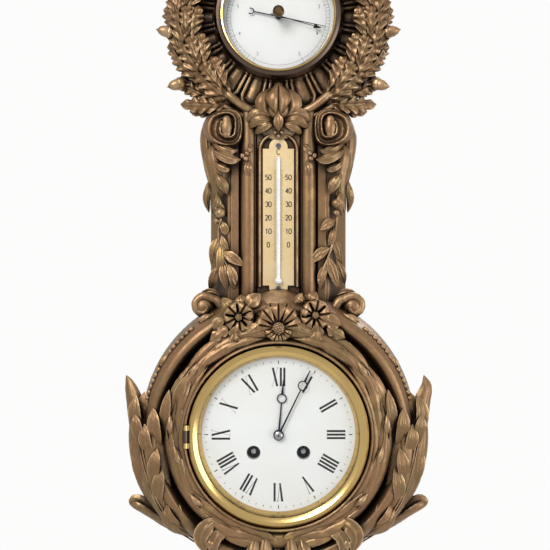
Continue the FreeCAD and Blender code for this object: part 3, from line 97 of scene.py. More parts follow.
DRUM_R = half_width("drum_body")
MOULD_R = half_width("inner_moulding")
NECK_HALF = half_width("neck_body")
FRAME_R = half_width("gadroon_frame")
THERMO_ABOVE = over_clock(THERMO[2])
DIAL_FACE = face_depth("clock_dial")
SCALE_FACE = face_depth("thermometer_plate")
BARO_FACE = face_depth("baro_dial")
BOARD_FACE = 10      # depth of the back board's front, which the carved parts stand on


# ---------------------------------------------------------------- sizes and colours
class CarvingSizes(bpy.types.PropertyGroup):
    leaf_vein: FloatProperty(
        name="Leaf rib", description="Height of a carved leaf's rib as a share of its half width",
        default=0.2, min=0, max=0.5, subtype="FACTOR")
    tool_marks: FloatProperty(
        name="Tool marks", description="Unevenness left by the carving gouge, in metres",
        default=0.0001, min=0, unit="LENGTH")
    bead_radius: FloatProperty(
        name="Bead", description="Radius of the beads strung round the case",
        default=0.0030, min=0.001, unit="LENGTH")
    key_light: FloatProperty(
        name="Key light", description="Power of the soft light above the front, in watts",
        default=26.0, min=0)
    floor_drop: FloatProperty(
        name="Floor", description="Height of the floor below the hanging hole",
        default=-2.3, unit="LENGTH")


class FinishColours(bpy.types.PropertyGroup):
    bronze: FloatVectorProperty(
        name="Bronze paint", description="Main colour of the bronzed carving", subtype="COLOR",
        size=3, min=0, max=1, default=(0.232, 0.137, 0.070))
    # painted shade: the colour laid into the recesses and creases of the bronzed carving
    bronze_shadow: FloatVectorProperty(
        name="Bronze recess", description="Painted shade in the recesses and creases", subtype="COLOR",
        size=3, min=0, max=1, default=(0.028, 0.015, 0.008))
    # rubbed edge colour: real rubbed wear and also a painted edge highlight
    bronze_rub: FloatVectorProperty(
        name="Rubbed edge", description="Paint rubbed pale along the edges", subtype="COLOR",
        size=3, min=0, max=1, default=(0.62, 0.43, 0.25))
    gold_leaf: FloatVectorProperty(
        name="Gold leaf", description="Old gilding that shows through the bronze", subtype="COLOR",
        size=3, min=0, max=1, default=(0.50, 0.33, 0.10))
    brass: FloatVectorProperty(
        name="Brass", description="Polished bezel brass", subtype="COLOR",
        size=3, min=0, max=1, default=(0.66, 0.46, 0.175))
    enamel: FloatVectorProperty(
        name="Enamel", description="White of the dials", subtype="COLOR",
        size=3, min=0, max=1, default=(0.93, 0.935, 0.955))
    ink: FloatVectorProperty(
        name="Dial black", description="Fired black of numerals and ticks", subtype="COLOR",
        size=3, min=0, max=1, default=(0.012, 0.011, 0.012))


# ---------------------------------------------------------------- carving kit
def through(points, count):
    """A smooth line through the points, as `count` samples."""
    p = np.array(points, float)
    p = np.vstack([2 * p[0] - p[1], p, 2 * p[-1] - p[-2]])
    t = np.linspace(0, len(points) - 1 - 1e-6, count)
    i = t.astype(int)
    f = (t - i)[:, None]
    a, b, c, d = p[i], p[i + 1], p[i + 2], p[i + 3]
    return 0.5 * (2 * b + (c - a) * f + (2 * a - 5 * b + 4 * c - d) * f ** 2
                  + (3 * b - a - 3 * c + d) * f ** 3)


def unit(v):
    return v / np.maximum(np.linalg.norm(v, axis=-1, keepdims=True), 1e-9)


def eased(outline, rounds=2, share=0.22):
    """A closed outline with its corners cut back, round by round."""
    p = np.array(outline, float)
    for _ in range(rounds):
        q = np.roll(p, -1, axis=0)
        p = np.stack([p + (q - p) * share, q - (q - p) * share], axis=1).reshape(-1, p.shape[1])
    return p


def round_spot(degrees, radius, depth):
    """A spot on the dial's circle, in degrees clockwise from twelve."""
    a = math.radians(degrees)
    return (radius * math.sin(a), depth, radius * math.cos(a))


def to_side(side, spots):
    """The spots on the right (1) or, mirrored, on the left (-1)."""
    return [(side * x, d, z) for x, d, z in spots]


def sided(name, side):
    return name + ("_right" if side > 0 else "_left")


class Carving:
    """Collects carved surfaces for one piece, about one centre."""

    def __init__(self, centre=CLOCK):
        self.centre = centre
        self.spots = []
        self.faces = []
        self.count = 0

    def skin(self, grid, around=True, capped=True):
        """Faces over a rows x columns grid of points, closed around its columns and at its ends."""
        rows, cols = grid.shape[:2]
        first = self.count
        self.spots.append(grid.reshape(-1, 3))
        self.count += rows * cols
        span = cols if around else cols - 1
        for i in range(rows - 1):
            for j in range(span):
                k = (j + 1) % cols
                self.faces.append((first + i * cols + j, first + i * cols + k,
                                   first + (i + 1) * cols + k, first + (i + 1) * cols + j))
        if capped:
            self.faces.append(tuple(range(first, first + cols)))
            self.faces.append(tuple(range(first + (rows - 1) * cols, first + rows * cols)))

    def leaf(self, spine, half, lobes=0, notch=0.4, sweep=0.9, cup=0.25, lean=0.0, full=0.42, root=0.35,
             rows=34, across=13, rib=None, blunt=0.8, skew=1.5, swell=0.11):
        """A carved leaf along a line, with a midrib and a vein that runs into each lobe.

        half is its half width. notch, sweep and skew shape the lobes, swell the veins. cup turns the edges
        forward, lean tips the face outward, full says where along the leaf it is widest, root how wide it
        starts and blunt how slim its tip is.
        """
        thick, crown, rib_wide, flutes, flute_deep = 0.35, 0.16, 0.13, 2.5, 0.05
        fine = 4        # line samples for each row
        rib = bpy.context.scene.carving_sizes.leaf_vein if rib is None else rib
        rows = max(rows, 9 * lobes)
        last = fine * rows - 1
        line = through(spine, last + 1)
        tangent = unit(np.gradient(line, axis=0))
        out = np.zeros_like(line)
        out[:, 1] = 1
        out += lean * unit(line * (1, 0, 1))
        normal = unit(out - (out * tangent).sum(1, keepdims=True) * tangent)
        side = np.cross(tangent, normal)
        length = np.linalg.norm(np.diff(line, axis=0), axis=1).sum()
        t = np.linspace(0, 1, rows)
        shape = np.sin(np.pi * t ** (math.log(0.5) / math.log(full))) ** blunt
        shape = np.where(t < full, root + (1 - root) * shape, shape)
        shape[-1] = 0.02
        phase = (lobes * t + 0.15) % 1.0
        if lobes:
            shape = shape * (1 - notch + notch * np.sin(np.pi * phase ** skew) ** 0.6)
        width = (half * shape)[:, None]
        v = np.concatenate([np.linspace(-1, 1, across), np.linspace(1, -1, across)[1:-1]])[None, :]
        face = (np.arange(v.shape[1]) < across)[None, :]
        ahead = sweep * half / length * np.abs(v) ** 1.5 * (shape[:, None] > 0.05) * (1 - t[:, None])
        at = np.clip((t[:, None] + ahead) * last, 0, last)
        low = np.minimum(at.astype(int), last - 1)
        f = (at - low)[..., None]
        base, across_leaf, up = (a[low] * (1 - f) + a[low + 1] * f for a in (line, side, normal))
        vein = swell * np.abs(v) * np.cos(TAU * (phase[:, None] - 0.55)) if lobes else 0
        flute = -flute_deep * np.cos(TAU * flutes * v) * (1 - np.abs(v))
        front = cup * v ** 2 + rib * np.exp(-(v / rib_wide) ** 2) + vein + flute + crown * (1 - v ** 4)
        back = cup * v ** 2 - thick * (1 - np.abs(v) ** 3)
        rise = np.where(face, front, back) * width
        self.skin(base + across_leaf * (v * width)[..., None] + up * rise[..., None])

    def tube(self, spine, start, end=None, sides=12, rows=40, flat=1.0, swell=0.0):
        """A round (or flattened) rod along a line, tapering from one radius to another."""
        end = start if end is None else end
        line = through(spine, rows)
        tangent = unit(np.gradient(line, axis=0))
        out = np.zeros_like(line)
        out[:, 1] = 1
        normal = unit(out - (out * tangent).sum(1, keepdims=True) * tangent)
        side = np.cross(tangent, normal)
        t = np.linspace(0, 1, rows)[:, None]
        radius = start + (end - start) * t + swell * np.sin(np.pi * t)
        a = np.linspace(0, TAU, sides, endpoint=False)[None, :]
        ring = (side[:, None] * (np.cos(a) * radius)[..., None]
                + normal[:, None] * (np.sin(a) * radius * flat)[..., None])
        self.skin(line[:, None] + ring)

    def turned(self, centre, axis, profile, sides=20, flutes=0, cut=0.0):
        """A turned shape whose profile gives (distance along the axis, radius)."""
        axis = unit(np.array(axis, float))
        other = np.array((0, 1, 0)) if abs(axis[1]) < 0.8 else np.array((1, 0, 0))
        u = unit(np.cross(axis, other))
        w = np.cross(axis, u)
        profile = np.array(profile, float)
        a = np.linspace(0, TAU, sides, endpoint=False)
        radius = profile[:, 1][:, None] * (1 - cut * (0.5 + 0.5 * np.cos(flutes * a)))[None, :]
        ring = u * np.cos(a)[:, None] + w * np.sin(a)[:, None]
        grid = (np.array(centre, float) + axis * profile[:, 0][:, None, None]
                + ring[None] * radius[..., None])
        self.skin(grid)

    def ball(self, centre, radii, flutes=0, cut=0.0, sides=20):
        """A ball, or an egg when given three radii (x, depth, height)."""
        rx, rd, rz = (radii,) * 3 if isinstance(radii, (int, float)) else radii
        pole, rings = 0.03, 13
        t = np.linspace(pole, math.pi - pole, rings)
        a = np.linspace(0, TAU, sides, endpoint=False)
        r = np.sin(t)[:, None] * (1 - cut * (0.5 + 0.5 * np.cos(flutes * a)))[None, :]
        grid = np.stack([rx * r * np.cos(a), rd * np.cos(t)[:, None] * np.ones_like(a),
                         rz * r * np.sin(a)], -1)
        self.skin(grid + np.array(centre, float))

    def lathe(self, outline, sides=256, carve=None, height=0.0, x=0.0):
        """A closed (radius, depth) outline turned about the dial's axis; carve may move each point."""
        outline = np.array(outline, float)
        a = np.linspace(0, TAU, sides, endpoint=False)[None, :]
        r = outline[:, 0][:, None] * np.ones_like(a)
        d = outline[:, 1][:, None] * np.ones_like(a)
        if carve:
            r, d = carve(r, d, a)
        grid = np.stack([x + r * np.sin(a), d, height + r * np.cos(a)], -1)
        self.skin(np.concatenate([grid, grid[:1]]), capped=False)

    def slab(self, x, z, front, back, around=False):
        """A block whose front is a relief over the grid x, z, closed down to its back."""
        if not around:
            x, z, front, back = (np.pad(g, 1, mode="edge") for g in (x, z, front, back))
            back_front = back.copy()
            back_front[1:-1, 1:-1] = front[1:-1, 1:-1]
            self.skin(np.stack([x, back_front, z], -1), around=False, capped=False)
            edge = np.stack([x, back, z], -1)
            rim = np.concatenate([edge[0], edge[1:, -1], edge[-1, -2::-1], edge[-2:0:-1, 0]])
            first = self.count
            self.spots.append(rim)
            self.count += len(rim)
            self.faces.append(tuple(range(first, first + len(rim))))
        else:
            grid = np.stack([x, front, z], -1)
            under = np.stack([x, back, z], -1)[::-1]
            self.skin(np.concatenate([grid, under, grid[:1]]), capped=False)

    def carved(self, node, finish="bronzed_wood", **shading):
        """Makes the piece as the carved stand-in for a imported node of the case."""
        return self.finish(node + "_carved", "case", "bronzed_wood", FINISH[finish], node, **shading)

    def finish(self, name, body, slot, finish, *nodes, smooth=50.0, marks=True):
        """Makes the piece: sets it in the frame, shades it and hands it its body and finish; slot is not
        used.
        """
        spots = np.concatenate(self.spots)
        if marks:
            depth = bpy.context.scene.carving_sizes.tool_marks / MM
            x, d, z = spots.T
            spots = spots + depth * np.stack([np.sin(0.9 * z + 1.7 * d),
                                              np.sin(1.1 * x + 0.6 * z) * np.sin(0.7 * z),
                                              np.sin(1.3 * x + 0.8 * d)], 1)
        set_in = np.stack([spots[:, 0] * MM + self.centre[0], -spots[:, 1] * MM,
                           spots[:, 2] * MM + self.centre[2]], 1)
        mesh = bpy.data.meshes.new(name)
        mesh.from_pydata(set_in.tolist(), [], self.faces)
        work = bmesh.new()
        work.from_mesh(mesh)
        bmesh.ops.remove_doubles(work, verts=work.verts, dist=WELD)
        bmesh.ops.dissolve_degenerate(work, edges=work.edges, dist=WELD / 2)
        bmesh.ops.recalc_face_normals(work, faces=work.faces)
        work.to_mesh(mesh)
        work.free()
        mesh.shade_smooth()
        mesh.set_sharp_from_angle(angle=math.radians(smooth))
        piece = bpy.data.objects.new(name, mesh)
        bpy.context.scene.collection.objects.link(piece)
        mesh.materials.append(finish)
        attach(piece, body)
        if nodes:
            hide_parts(*nodes)
        return piece


# ---------------------------------------------------------------- finishes
class Nodes:
    """A short hand for building a material's nodes."""

    def __init__(self, name):
        self.material = bpy.data.materials.new(name)
        self.material.use_nodes = True
        self.tree = self.material.node_tree
        self.shader = self.tree.nodes["Principled BSDF"]
        self.place = self.tree.nodes.new("ShaderNodeTexCoord").outputs["Object"]

    def add(self, kind, links=None, **values):
        node = self.tree.nodes.new(kind)
        for key, value in values.items():
            setattr(node, key, value)
        for socket, value in (links or {}).items():
            self.give(node.inputs[socket], value)
        return node

    def give(self, socket, value):
        if isinstance(value, bpy.types.NodeSocket):
            self.tree.links.new(value, socket)
        elif hasattr(value, "__len__") and len(value) == 3 and socket.type == "RGBA":
            socket.default_value = (*value, 1.0)
        else:
            socket.default_value = value

    def noise(self, scale, detail=4.0, roughness=0.55, stretch=None):
        """Clouds about 1 / scale metres across, stretched along an axis where asked."""
        place = self.place
        if stretch:
            place = self.add("ShaderNodeMapping", {"Vector": place, "Scale": stretch}).outputs[0]
        node = self.add("ShaderNodeTexNoise", {"Vector": place, "Scale": scale, "Detail": detail,
                                               "Roughness": roughness})
        return node.outputs["Fac"]

    def spread(self, value, low, high, out_low=0.0, out_high=1.0):
        """The value's range from low to high, eased onto another range."""
        node = self.add("ShaderNodeMapRange", {"Value": value, "From Min": low, "From Max": high,
                                               "To Min": out_low, "To Max": out_high},
                        interpolation_type="SMOOTHSTEP")
        return node.outputs["Result"]

    def mix(self, share, a, b):
        """Colour a where the share is 0 and b where it is 1."""
        node = self.add("ShaderNodeMix", data_type="RGBA")
        self.give(node.inputs[0], share)
        self.give(node.inputs[6], a)
        self.give(node.inputs[7], b)
        return node.outputs[2]

    def times(self, a, b):
        node = self.add("ShaderNodeMath", operation="MULTIPLY")
        self.give(node.inputs[0], a)
        self.give(node.inputs[1], b)
        return node.outputs[0]

    def recess(self, distance):
        """1 in the open and 0 deep in the carving."""
        return self.add("ShaderNodeAmbientOcclusion", {"Distance": distance}, samples=8).outputs["AO"]

    def edge(self):
        """About half on flat wood, more on sharp edges and less in creases."""
        return self.add("ShaderNodeNewGeometry").outputs["Pointiness"]

    def bump(self, height, strength, distance, under=None):
        links = {"Height": height, "Strength": strength, "Distance": distance}
        if under is not None:
            links["Normal"] = under
        return self.add("ShaderNodeBump", links).outputs["Normal"]

    def set(self, **values):
        """Fills the shader's own sockets and hands back the material."""
        for key, value in values.items():
            self.give(self.shader.inputs[key.replace("_", " ")], value)
        return self.material


def colours():
    return bpy.context.scene.finish_colours


def bronzed_wood(name="bronzed_wood", gilt=0.0, lift=1.0):
    """Bronze powder paint over carved wood: lightly clouded, with painted shade in the recesses and
    creases, and edges rubbed pale, which also stands as a painted edge highlight.
    """
    n = Nodes(name)
    c = colours()
    bronze = [v * lift for v in c.bronze]
    olive = [bronze[0] * 0.92, bronze[1] * 0.98, bronze[2] * 0.84]
    rose = [bronze[0] * 1.14, bronze[1] * 1.05, bronze[2] * 0.98]
    base = n.mix(n.spread(n.noise(22, 5, 0.6), 0.34, 0.66), olive, rose)
    blotch = n.spread(n.noise(140, 6, 0.65), 0.42, 0.72)
    base = n.mix(n.times(blotch, 0.35), base, [v * 0.62 for v in bronze])
    flakes = n.times(n.spread(n.noise(30, 7, 0.68), 0.62 - gilt * 0.22, 0.76 - gilt * 0.18), 0.55)
    base = n.mix(flakes, base, list(c.gold_leaf))
    # rubbed wear along sharp edges, which also stands as a painted edge highlight
    rub_and_highlight = n.times(n.spread(n.edge(), 0.506, 0.575), n.spread(n.noise(60, 3), 0.32, 0.62))
    base = n.mix(n.times(rub_and_highlight, 0.8), base, list(c.bronze_rub))
    # painted shade: the recess colour laid over the bronze where ambient occlusion finds deep carving
    recess_shade = n.spread(n.recess(0.030), 0.38, 0.95)
    base = n.mix(recess_shade, list(c.bronze_shadow), base)
    # painted shade: the recess colour laid into the creases, where pointiness is low
    crease_shade = n.spread(n.edge(), 0.42, 0.495)
    base = n.mix(crease_shade, list(c.bronze_shadow), base)
    rough = n.spread(n.noise(150, 4), 0.3, 0.7, 0.30, 0.46)
    grain = n.noise(240, 6, 0.6, stretch=(1.0, 1.0, 0.25))
    pits = n.noise(900, 3)
    skin = n.bump(pits, 0.10, 0.0004, n.bump(grain, 0.16, 0.0008))
    return n.set(Base_Color=base, Roughness=rough, Metallic=0.55, Normal=skin,
                 Coat_Weight=0.08, Coat_Roughness=0.25, Specular_IOR_Level=0.3)


def brass(name, tone, tarnish, polish, brushed=0.0):
    """Brass, softly clouded, with patches of tarnish, painted shade in the recesses and fine turning marks.
    """
    n = Nodes(name)
    cloud = n.spread(n.noise(16, 4, 0.5), 0.36, 0.68)
    dull = [tone[0] * 0.62, tone[1] * 0.56, tone[2] * 0.50]
    pale = [min(1, v * 1.16) for v in tone]
    base = n.mix(cloud, list(tone), pale)
    base = n.mix(n.times(n.spread(n.noise(24, 4, 0.6), 0.46, 0.74), tarnish), base, dull)
    # painted shade: the brass darkened where ambient occlusion finds a recess
    recess_shade = n.spread(n.recess(0.006), 0.25, 0.85)
    base = n.mix(recess_shade, [v * 0.35 for v in dull], base)
    rough = n.spread(n.noise(30, 4), 0.3, 0.7, polish, polish + 0.08)
    lines = n.noise(500, 3, 0.5)
    return n.set(Base_Color=base, Roughness=rough, Metallic=1.0,
                 Normal=n.bump(lines, 0.01 + 0.15 * brushed, 0.0002))


def steel(name, tone, polish, stains=0.35):
    """Steel with soft stains and a fine grain."""
    n = Nodes(name)
    base = n.mix(n.times(n.spread(n.noise(90, 5), 0.4, 0.7), stains), list(tone),
                 [v * 0.45 for v in tone])
    rough = n.spread(n.noise(300, 3), 0.3, 0.7, polish, polish + 0.15)
    return n.set(Base_Color=base, Roughness=rough, Metallic=1.0,
                 Normal=n.bump(n.noise(700, 3), 0.08, 0.0003))


def enamel(name, shade=1.0):
    """Fired enamel: cool white, faintly clouded, glossy, with hair-fine crazing."""
    crazing, hair = 0.05, 0.012
    n = Nodes(name)
    # shade below 1 dims the white: painted shade for a dial that the lamps light more strongly
    white = [v * shade for v in colours().enamel]
    base = n.mix(n.spread(n.noise(18, 4), 0.35, 0.7), white,
                 [white[0] * 0.97, white[1] * 0.96, white[2] * 0.92])
    cells = n.add("ShaderNodeTexVoronoi", {"Vector": n.place, "Scale": 70.0}, feature="DISTANCE_TO_EDGE")
    crack = n.spread(cells.outputs["Distance"], 0.0, hair, crazing, 0.0)
    base = n.mix(crack, base, [v * 0.55 for v in white])
    return n.set(Base_Color=base, Roughness=n.spread(n.noise(40, 3), 0.3, 0.7, 0.16, 0.26),
                 Coat_Weight=0.4,
                 Coat_Roughness=0.08, Normal=n.bump(n.noise(25, 2), 0.04, 0.001))


def old_wood():
    """Unpainted board: straight grain, darkened with age."""
    n = Nodes("raw_wood")
    grain = n.noise(55, 8, 0.65, stretch=(6.0, 6.0, 0.45))
    base = n.mix(n.spread(grain, 0.35, 0.68), (0.16, 0.085, 0.04), (0.34, 0.205, 0.11))
    base = n.mix(n.spread(n.noise(9, 4), 0.35, 0.7), base, (0.12, 0.07, 0.04))
    return n.set(Base_Color=base, Roughness=n.spread(grain, 0.3, 0.7, 0.62, 0.82),
                 Normal=n.bump(grain, 0.4, 0.0008))


def ink():
    """Fired black of the dials' printing."""
    n = Nodes("dial_black")
    base = n.mix(n.spread(n.noise(400, 3), 0.4, 0.7), list(colours().ink), (0.03, 0.027, 0.03))
    return n.set(Base_Color=base, Roughness=n.spread(n.noise(300, 2), 0.3, 0.7, 0.25, 0.4))


def clear_glass():
    """Thin polished glass: see-through, with a soft gloss that grows towards grazing light."""
    n = Nodes("clear_glass")
    tree = n.tree
    see = n.add("ShaderNodeBsdfTransparent", {"Color": (0.985, 0.99, 0.985)})
    gloss = n.add("ShaderNodeBsdfGlossy", {"Roughness": 0.06, "Color": (0.9, 0.9, 0.9)})
    share = n.times(n.add("ShaderNodeFresnel", {"IOR": 1.3}).outputs[0], 0.8)
    both = n.add("ShaderNodeMixShader", {0: share, 1: see.outputs[0], 2: gloss.outputs[0]})
    tree.nodes.remove(n.shader)
    tree.links.new(both.outputs[0], tree.nodes["Material Output"].inputs["Surface"])
    return n.material


def lacquered_scale():
    """Pale lacquered brass plate, a little browned at its edges."""
    n = Nodes("scale_brass")
    cream = n.mix(n.spread(n.noise(40, 4), 0.35, 0.7), (0.86, 0.73, 0.42), (0.90, 0.80, 0.53))
    stain = n.spread(n.edge(), 0.51, 0.60)
    cream = n.mix(n.times(stain, 0.5), cream, (0.45, 0.25, 0.09))
    return n.set(Base_Color=cream, Metallic=0.35,
                 Roughness=n.spread(n.noise(220, 4), 0.3, 0.7, 0.3, 0.42),
                 Normal=n.bump(n.noise(600, 3), 0.05, 0.0003))


def milk_glass():
    """White-backed glass of the thermometer tube."""
    n = Nodes("milk_glass")
    white = n.mix(n.spread(n.noise(90, 3), 0.3, 0.7), (0.74, 0.76, 0.80), (0.62, 0.65, 0.70))
    return n.set(Base_Color=white, Roughness=n.spread(n.noise(200, 2), 0.3, 0.7, 0.08, 0.14),
                 Coat_Weight=0.8,
                 Coat_Roughness=0.03, IOR=1.5)


def quicksilver():
    """Bright mercury in the tube."""
    n = Nodes("mercury")
    return n.set(Base_Color=n.mix(n.noise(200, 2), (0.62, 0.62, 0.64), (0.78, 0.78, 0.8)), Metallic=1.0,
                 Roughness=0.12)


FINISH = {}
# imported pieces whose look differs from their slot's finish
# dial_plate and front_plate take near-black steel: painted shade seen through the winding holes
OWN_FINISH = {"hand_collet": "collet_steel", "bezel_hinge": "dark_brass", "screws_and_pin": "screw_steel",
              "thermometer_tube": "milk_glass", "dial_plate": "shade_black", "front_plate": "shade_black",
              "going_arbor": "collet_steel", "strike_arbor": "collet_steel"}


def make_finishes():
    """Makes one finish for each slot and special look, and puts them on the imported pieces."""
    FINISH.update({
        "bronzed_wood": bronzed_wood(),
        "gilt_bronze": bronzed_wood("gilt_bronze", gilt=0.35, lift=1.05),
        "bronze_pearls": bronzed_wood("bronze_pearls", gilt=0.15, lift=1.2),
        "raw_wood": old_wood(),
        "door_brass": brass("door_brass", (0.42, 0.30, 0.15), 0.6, 0.36, 0.4),
        "steel": steel("steel", (0.42, 0.41, 0.40), 0.32),
        "scale_brass": lacquered_scale(),
        "clear_glass": clear_glass(),
        "mercury": quicksilver(),
        "dark_brass": brass("dark_brass", (0.125, 0.088, 0.066), 0.25, 0.26),
        # scale_enamel is the dial enamel dimmed to 0.86: painted shade, so the brighter-lit barometer dial
        # does not burn out
        "scale_enamel": enamel("scale_enamel", 0.86),
        "capsule_metal": steel("capsule_metal", (0.55, 0.53, 0.47), 0.28),
        "movement_brass": brass("movement_brass", (0.60, 0.43, 0.18), 0.25, 0.28, 0.5),
        "bell_metal": brass("bell_metal", (0.52, 0.38, 0.2), 0.2, 0.2),
        "dial_enamel": enamel("dial_enamel"),
        "bezel_brass": brass("bezel_brass", tuple(colours().brass), 0.10, 0.17),
        "set_hand_brass": brass("set_hand_brass", (0.10, 0.062, 0.032), 0.35, 0.26),
        "blued_steel": steel("blued_steel", (0.018, 0.022, 0.045), 0.24, 0.3),
        "ink": ink(),
        "milk_glass": milk_glass(),
        "screw_steel": steel("screw_steel", (0.13, 0.13, 0.16), 0.3),
        # near-black steel for the plates behind the winding holes: painted shade
        "shade_black": steel("shade_black", (0.03, 0.03, 0.034), 0.45),
        "collet_steel": steel("collet_steel", (0.50, 0.50, 0.52), 0.22),
    })
    for name, node in frame["nodes"].items():
        node.data.materials.clear()
        node.data.materials.append(FINISH[OWN_FINISH.get(name, slot_of(name))])


def slot_of(node):
    """The material slot that the record gives the node."""
    return next(part["material_slot"] for part in frame["record"]["subparts"] if part["node"] == node)


# ---------------------------------------------------------------- turned and carved case
def build_round_case():
    """Side wall, shoulder, convex band and the deep groove inside it, turned and closed behind."""
    work = Carving()
    bore, groove = 62, 52
    outline = [(bore, BOARD_FACE), (DRUM_R - 1, BOARD_FACE), (DRUM_R, 28), (DRUM_R - 2.5, 45),
               (DRUM_R - 5, 54), (DRUM_R - 9.5, 65.5),
               (DRUM_R - 11.5, 67.5), (DRUM_R - 14, 70.6), (DRUM_R - 18, 71.8), (123, 70.6), (120, 66),
               (119, 60), (118.7, groove), (bore, groove)]
    work.lathe(eased(outline, 2, 0.2))
    return work.finish("round_case", "case", "bronzed_wood", FINISH["bronzed_wood"], "drum_body",
                       smooth=60)


def mould_leaves(work, side):
    """Long leaves that run with the inner moulding, overlapping, and the pods between them."""
    def on(*spots):
        """Spots sunk towards the moulding, so the leaves lie flatter than they were drawn."""
        return [round_spot(side * a, r + 0.7, 74.4 + (d - 75) * 0.6) for a, r, d in spots]

    runs = (
        # half width, lobes, then (degrees from twelve, radius, depth) along the rib
        (4.6, 0, ((126, 106, 76), (112, 107, 78), (100, 105.5, 80), (85, 107.5, 80))),
        (5.2, 0, ((130, 108, 75), (117, 104, 78), (106, 101.5, 80), (98, 100, 80))),
        (5.6, 3, ((90, 99, 78), (74, 101.5, 81), (57, 105, 81), (34, 109, 79))),
        (4.6, 2, ((112, 98, 77), (95, 95.5, 80), (77, 94.8, 81), (58, 96, 80), (46, 97.5, 78))),
        (5.6, 3, ((62, 100, 77), (47, 103, 80), (34, 102.5, 81), (21, 101, 80))),
        (5.4, 2, ((44, 98, 77), (31, 100, 80), (20, 99, 81), (9, 97, 79))),
        (5.0, 0, ((134, 95, 76), (123, 97, 79), (112, 96.5, 80), (103, 95, 78))),
        (5.0, 0, ((80, 110, 75), (70, 111, 77), (60, 111, 77), (50, 111.5, 75))),
        (4.4, 0, ((55, 110.5, 75), (46, 111, 77), (36, 112, 77), (28, 111, 75))),
        (5.4, 3, ((168, 101, 77), (156, 106, 80), (144, 108, 80), (130, 108, 78))),
        (5.2, 2, ((160, 97, 77), (149, 97, 80), (138, 98, 81), (124, 100, 79))),
        (5.0, 2, ((180, 104, 77), (172, 99, 80), (162, 96.5, 80), (150, 96, 78))),
        (4.6, 0, ((176, 109, 76), (166, 111, 78), (155, 112, 77), (146, 111, 75))),
        (4.6, 0, ((26, 108, 76), (17, 106, 79), (8, 107, 79), (1, 109, 77))),
    )
    for half, lobes, spots in runs:
        work.leaf(on(*spots), half * 0.95, lobes, cup=-0.28, lean=0.15, notch=0.22, rows=40, rib=0.12)
    for angle, radius, turn in ((84.5, 107.4, 8), (101.5, 102, 12), (128, 103, 4), (52, 105.5, 6)):
        ends = on((angle + 5.5, radius - 1.5, 77), (angle, radius, 81),
                  (angle - 4 - turn / 4, radius + 1.5, 78.5))
        work.tube(ends, 0.8, 0.5, sides=14, rows=24, swell=2.7, flat=0.8)
        for off in (-2.4, 2.4):
            husk = on((angle + 7, radius + off, 76), (angle + 2, radius + off * 1.3, 80),
                      (angle - 3, radius + off, 79))
            work.tube(husk, 0.9, 0.4, rows=16, sides=8)


def build_inner_moulding():
    """Moulding round the clock bezel: a raised inner ring and the leaves that run round outside it."""
    work = Carving()
    inner = MOULD_R - 24.5
    outline = [(inner, 52), (MOULD_R, 52), (MOULD_R, 68), (MOULD_R - 2.5, 73), (MOULD_R - 8, 76.5),
               (MOULD_R - 15, 76.2), (MOULD_R - 18.5, 73.2), (MOULD_R - 19.6, 72.4), (inner + 4.4, 78.4),
               (inner + 2.6, 80.4), (inner + 0.8, 79.2), (inner, 72.5)]
    work.lathe(eased(outline, 2, 0.18))
    for side in (-1, 1):
        mould_leaves(work, side)
    return work.carved("inner_moulding", "gilt_bronze")


def build_bead_strings():
    """Strings of beads with a husk between each two, pinned to the shoulder of the case."""
    work = Carving()
    bead = bpy.context.scene.carving_sizes.bead_radius / MM
    row, pitch = DRUM_R - 7.2, 2.6
    for side in (-1, 1):
        for start in (40.0, 62.0):
            for i in range(6):
                work.ball(round_spot(side * (start + pitch * i), row, 61.0), bead, sides=16)
        for start in (29.0, 54.3, 76.5):
            ends = [round_spot(side * (start + step), row, 60.5) for step in (0, 2.8, 5.6)]
            work.tube(ends, 1.0, 1.0, sides=14, rows=20, swell=2.3)
            for end in (ends[0], ends[2]):
                work.ball(end, 1.6, sides=10)
            for off, long in ((1.8, 7.5), (-2.2, 6.5)):
                husk = [round_spot(side * (start + step * long), row + off * (0.3 + step),
                                   59.5 + 3 * step * (1 - step) * 2)
                        for step in (0, 0.5, 1.0)]
                work.leaf(husk, 3.2, cup=-0.25, blunt=0.75)
    return work.finish("bead_strings_carved", "case", "bronze_pearls", FINISH["bronze_pearls"],
                       "bead_strings",
                       marks=False)


def plate_distance(x, z):
    """Distance outside the thermometer plate's outline: long body with a round tab at each end."""
    half, tall, tab, reach = 16.0, 70.5, 9.5, 72.0
    dx, dz = np.abs(x) - half, np.abs(z) - tall
    body = np.hypot(np.maximum(dx, 0), np.maximum(dz, 0)) + np.minimum(np.maximum(dx, dz), 0)
    tabs = np.hypot(x, np.abs(z) - reach) - tab
    return np.minimum(body, tabs)


def arch_distance(x, z):
    """Distance outside the thermometer's niche: straight sides, a round arch on top, open at the foot."""
    half, spring = 16.6, 68.5
    above = np.hypot(x, np.maximum(z - spring, 0) * 1.08) - half
    return np.where(z > -72, above, -1.0)


